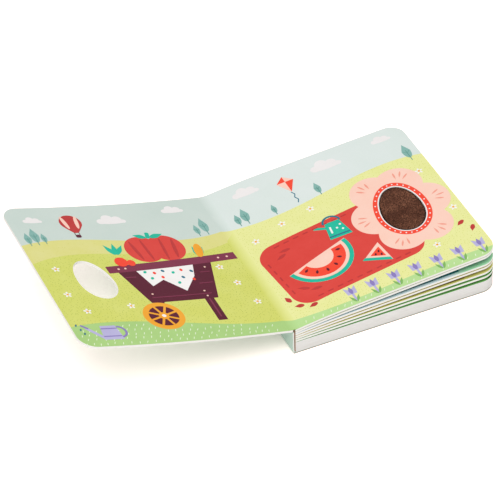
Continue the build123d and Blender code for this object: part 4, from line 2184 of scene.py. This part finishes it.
def both_landscapes() -> tuple[Landscape, Landscape]:
    """Describe what stands in the fields of the pages.

    Returns:
        What stands in those of the left and of the right page.
    """
    left = Landscape(
        LEFT_PAGE,
        clouds=((-92, 160, 26), (-34, 168, 20), (-160, 164, 17)),
        poplars=(
            (-173, 131, 17),
            (-166, 132, 22),
            (-159, 133, 14),
            (-24, 131, 15),
            (-16, 132, 22),
        ),
        daisies=((-168, 66), (-165, 99), (-121, 48), (-20, 66), (-14, 40), (-26, 88), (-160, 44)),
        grass_line=((-182, 25), (-120, 28), (-60, 18), (-6, 13)),
        grass_rows=5,
        clear=((-99, 33, 18.6),),
    )
    right = Landscape(
        RIGHT_PAGE,
        clouds=((32, 167, 24), (104, 164, 28), (158, 170, 18)),
        poplars=((13, 132, 15), (20, 131, 20), (44, 129, 13), (86, 133, 16), (170, 134, 21)),
        daisies=((15, 108), (42, 116), (70, 121), (172, 64), (168, 118), (140, 30)),
        grass_line=((6, 10), (50, 7), (110, 8), (176, 7)),
        grass_rows=2,
        seed=5,
    )
    return left, right


@dataclass
class Studio:
    """Pale floor, plain soft light and the camera."""

    camera_place: Triple = (mm(-758.5), mm(-1588.3), mm(1505.5))
    camera_target: Triple = (mm(-95.8), mm(-19.0), mm(53.8))
    camera_roll: float = -0.0344
    sensor: float = 36.0
    lens: float = 203.3
    sky: str = "FFFFFF"
    sky_strength: float = 0.72
    seen_sky_strength: float = 1.0
    key_power: float = 22.0
    key_size: float = 1.5
    key_place: Triple = (-0.6, -1.1, 2.2)
    floor_size: float = 30.0
    plain_floor: str = "F4F3F1"
    seen_floor: str = "E9DAD8"

    def build(self) -> None:
        """Set up the whole studio."""
        self.floor()
        self.light()
        self.camera()

    def for_camera(self, tree: Tree, plain: bpy.types.Node, seen: bpy.types.Node) -> Socket:
        """Show the camera another shader than the light meets.

        Args:
            tree: Node tree of both shaders.
            plain: Shader that light meets.
            seen: Shader that the camera sees.

        Returns:
            The two as one shader.
        """
        ray = add_node(tree, "ShaderNodeLightPath").outputs["Is Camera Ray"]
        shaders = {0: ray, 1: plain.outputs[0], 2: seen.outputs[0]}
        return add_node(tree, "ShaderNodeMixShader", None, shaders).outputs[0]

    def floor(self) -> None:
        """Lay a wide white floor that the camera sees as clean white."""
        deselect()
        bpy.ops.mesh.primitive_plane_add(size=self.floor_size)
        floor = bpy.context.object
        floor.name = "floor"
        material, tree = new_material("white_floor")
        matt = add_node(tree, "ShaderNodeBsdfDiffuse", {"Color": linear(self.plain_floor)})
        warm = add_node(tree, "ShaderNodeBsdfDiffuse", {"Color": linear(self.seen_floor)})
        twice = {0: warm.outputs[0], 1: warm.outputs[0]}
        bright = add_node(tree, "ShaderNodeAddShader", None, twice)
        surface = self.for_camera(tree, matt, bright)
        add_node(tree, "ShaderNodeOutputMaterial", None, {"Surface": surface})
        floor.data.materials.append(material)

    def light(self) -> None:
        """Light the book from a pale sky and one large soft lamp overhead."""
        world = bpy.data.worlds.new("pale_room")
        world.use_nodes = True
        tree = world.node_tree
        tree.nodes.clear()
        colour = linear(self.sky)
        room = {"Color": colour, "Strength": self.sky_strength}
        white = {"Color": colour, "Strength": self.seen_sky_strength}
        surface = self.for_camera(
            tree,
            add_node(tree, "ShaderNodeBackground", room),
            add_node(tree, "ShaderNodeBackground", white),
        )
        add_node(tree, "ShaderNodeOutputWorld", None, {"Surface": surface})
        bpy.context.scene.world = world
        deselect()
        bpy.ops.object.light_add(type="AREA", location=self.key_place)
        lamp = bpy.context.object
        lamp.name = "soft_lamp"
        lamp.data.energy = self.key_power
        lamp.data.shape = "DISK"
        lamp.data.size = self.key_size
        lamp.rotation_euler = (-Vector(self.key_place)).to_track_quat("-Z", "Y").to_euler()

    def camera(self) -> None:
        """Place the camera at the photographed angle."""
        deselect()
        bpy.ops.object.camera_add(location=self.camera_place)
        camera = bpy.context.object
        camera.name = "camera"
        look = Vector(self.camera_target) - Vector(self.camera_place)
        turn = look.to_track_quat("-Z", "Y")
        roll = Matrix.Rotation(self.camera_roll, 3, "Z").to_quaternion()
        camera.rotation_mode = "QUATERNION"
        camera.rotation_quaternion = turn @ roll
        camera.data.sensor_width = self.sensor
        camera.data.lens = self.lens
        bpy.context.scene.camera = camera
        bpy.context.scene.view_settings.view_transform = "Standard"


@dataclass
class Solids:
    """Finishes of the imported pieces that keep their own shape."""

    inks = {
        "left_sky_print": SKY_LEFT_SHADED,
        "left_hill_print": HILL_LEFT,
        "left_meadow_print": MEADOW_LEFT_SHADED,
        "left_grass_print": GRASS_LEFT_SHADED,
        "pumpkin_print": RED,
        "barrow_tray_print": MAROON,
        "barrow_cloth_print": WHITE,
        "barrow_rim_print": PLUM,
        "barrow_wheel_print": ORANGE,
        "right_sky_print": SKY_RIGHT,
        "right_meadow_print": MEADOW_RIGHT,
        "right_grass_print": GRASS_RIGHT,
        "blanket_print": RED,
        "melon_print": PINK,
        "jug_print": TEAL,
        "flower_print": PINK,
        "flower_ring_print": BRIGHT_RED,
        "tulip_print": LILAC,
        "cover_wrap": MINT,
    }

    def build(self) -> None:
        """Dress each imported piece."""
        for node, finish in self.inks.items():
            PAINTS.dress(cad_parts[node], finish)
            log.info("dressed %s", node)


def main() -> None:
    """Build the looks of the book in order."""
    logging.basicConfig(level=logging.INFO, format="%(name)s: %(message)s")
    Studio().build()
    Solids().build()
    Base().build()
    LeafFan().build()
    CoverLeaf().build()
    Folds().build()
    PilePatch().build()
    left, right = both_landscapes()
    left.build()
    Barrow().build()
    WateringCan().build()
    Balloon().build()
    right.build()
    Picnic().build()
    Flowers().build()


if __name__ == "__main__":
    main()
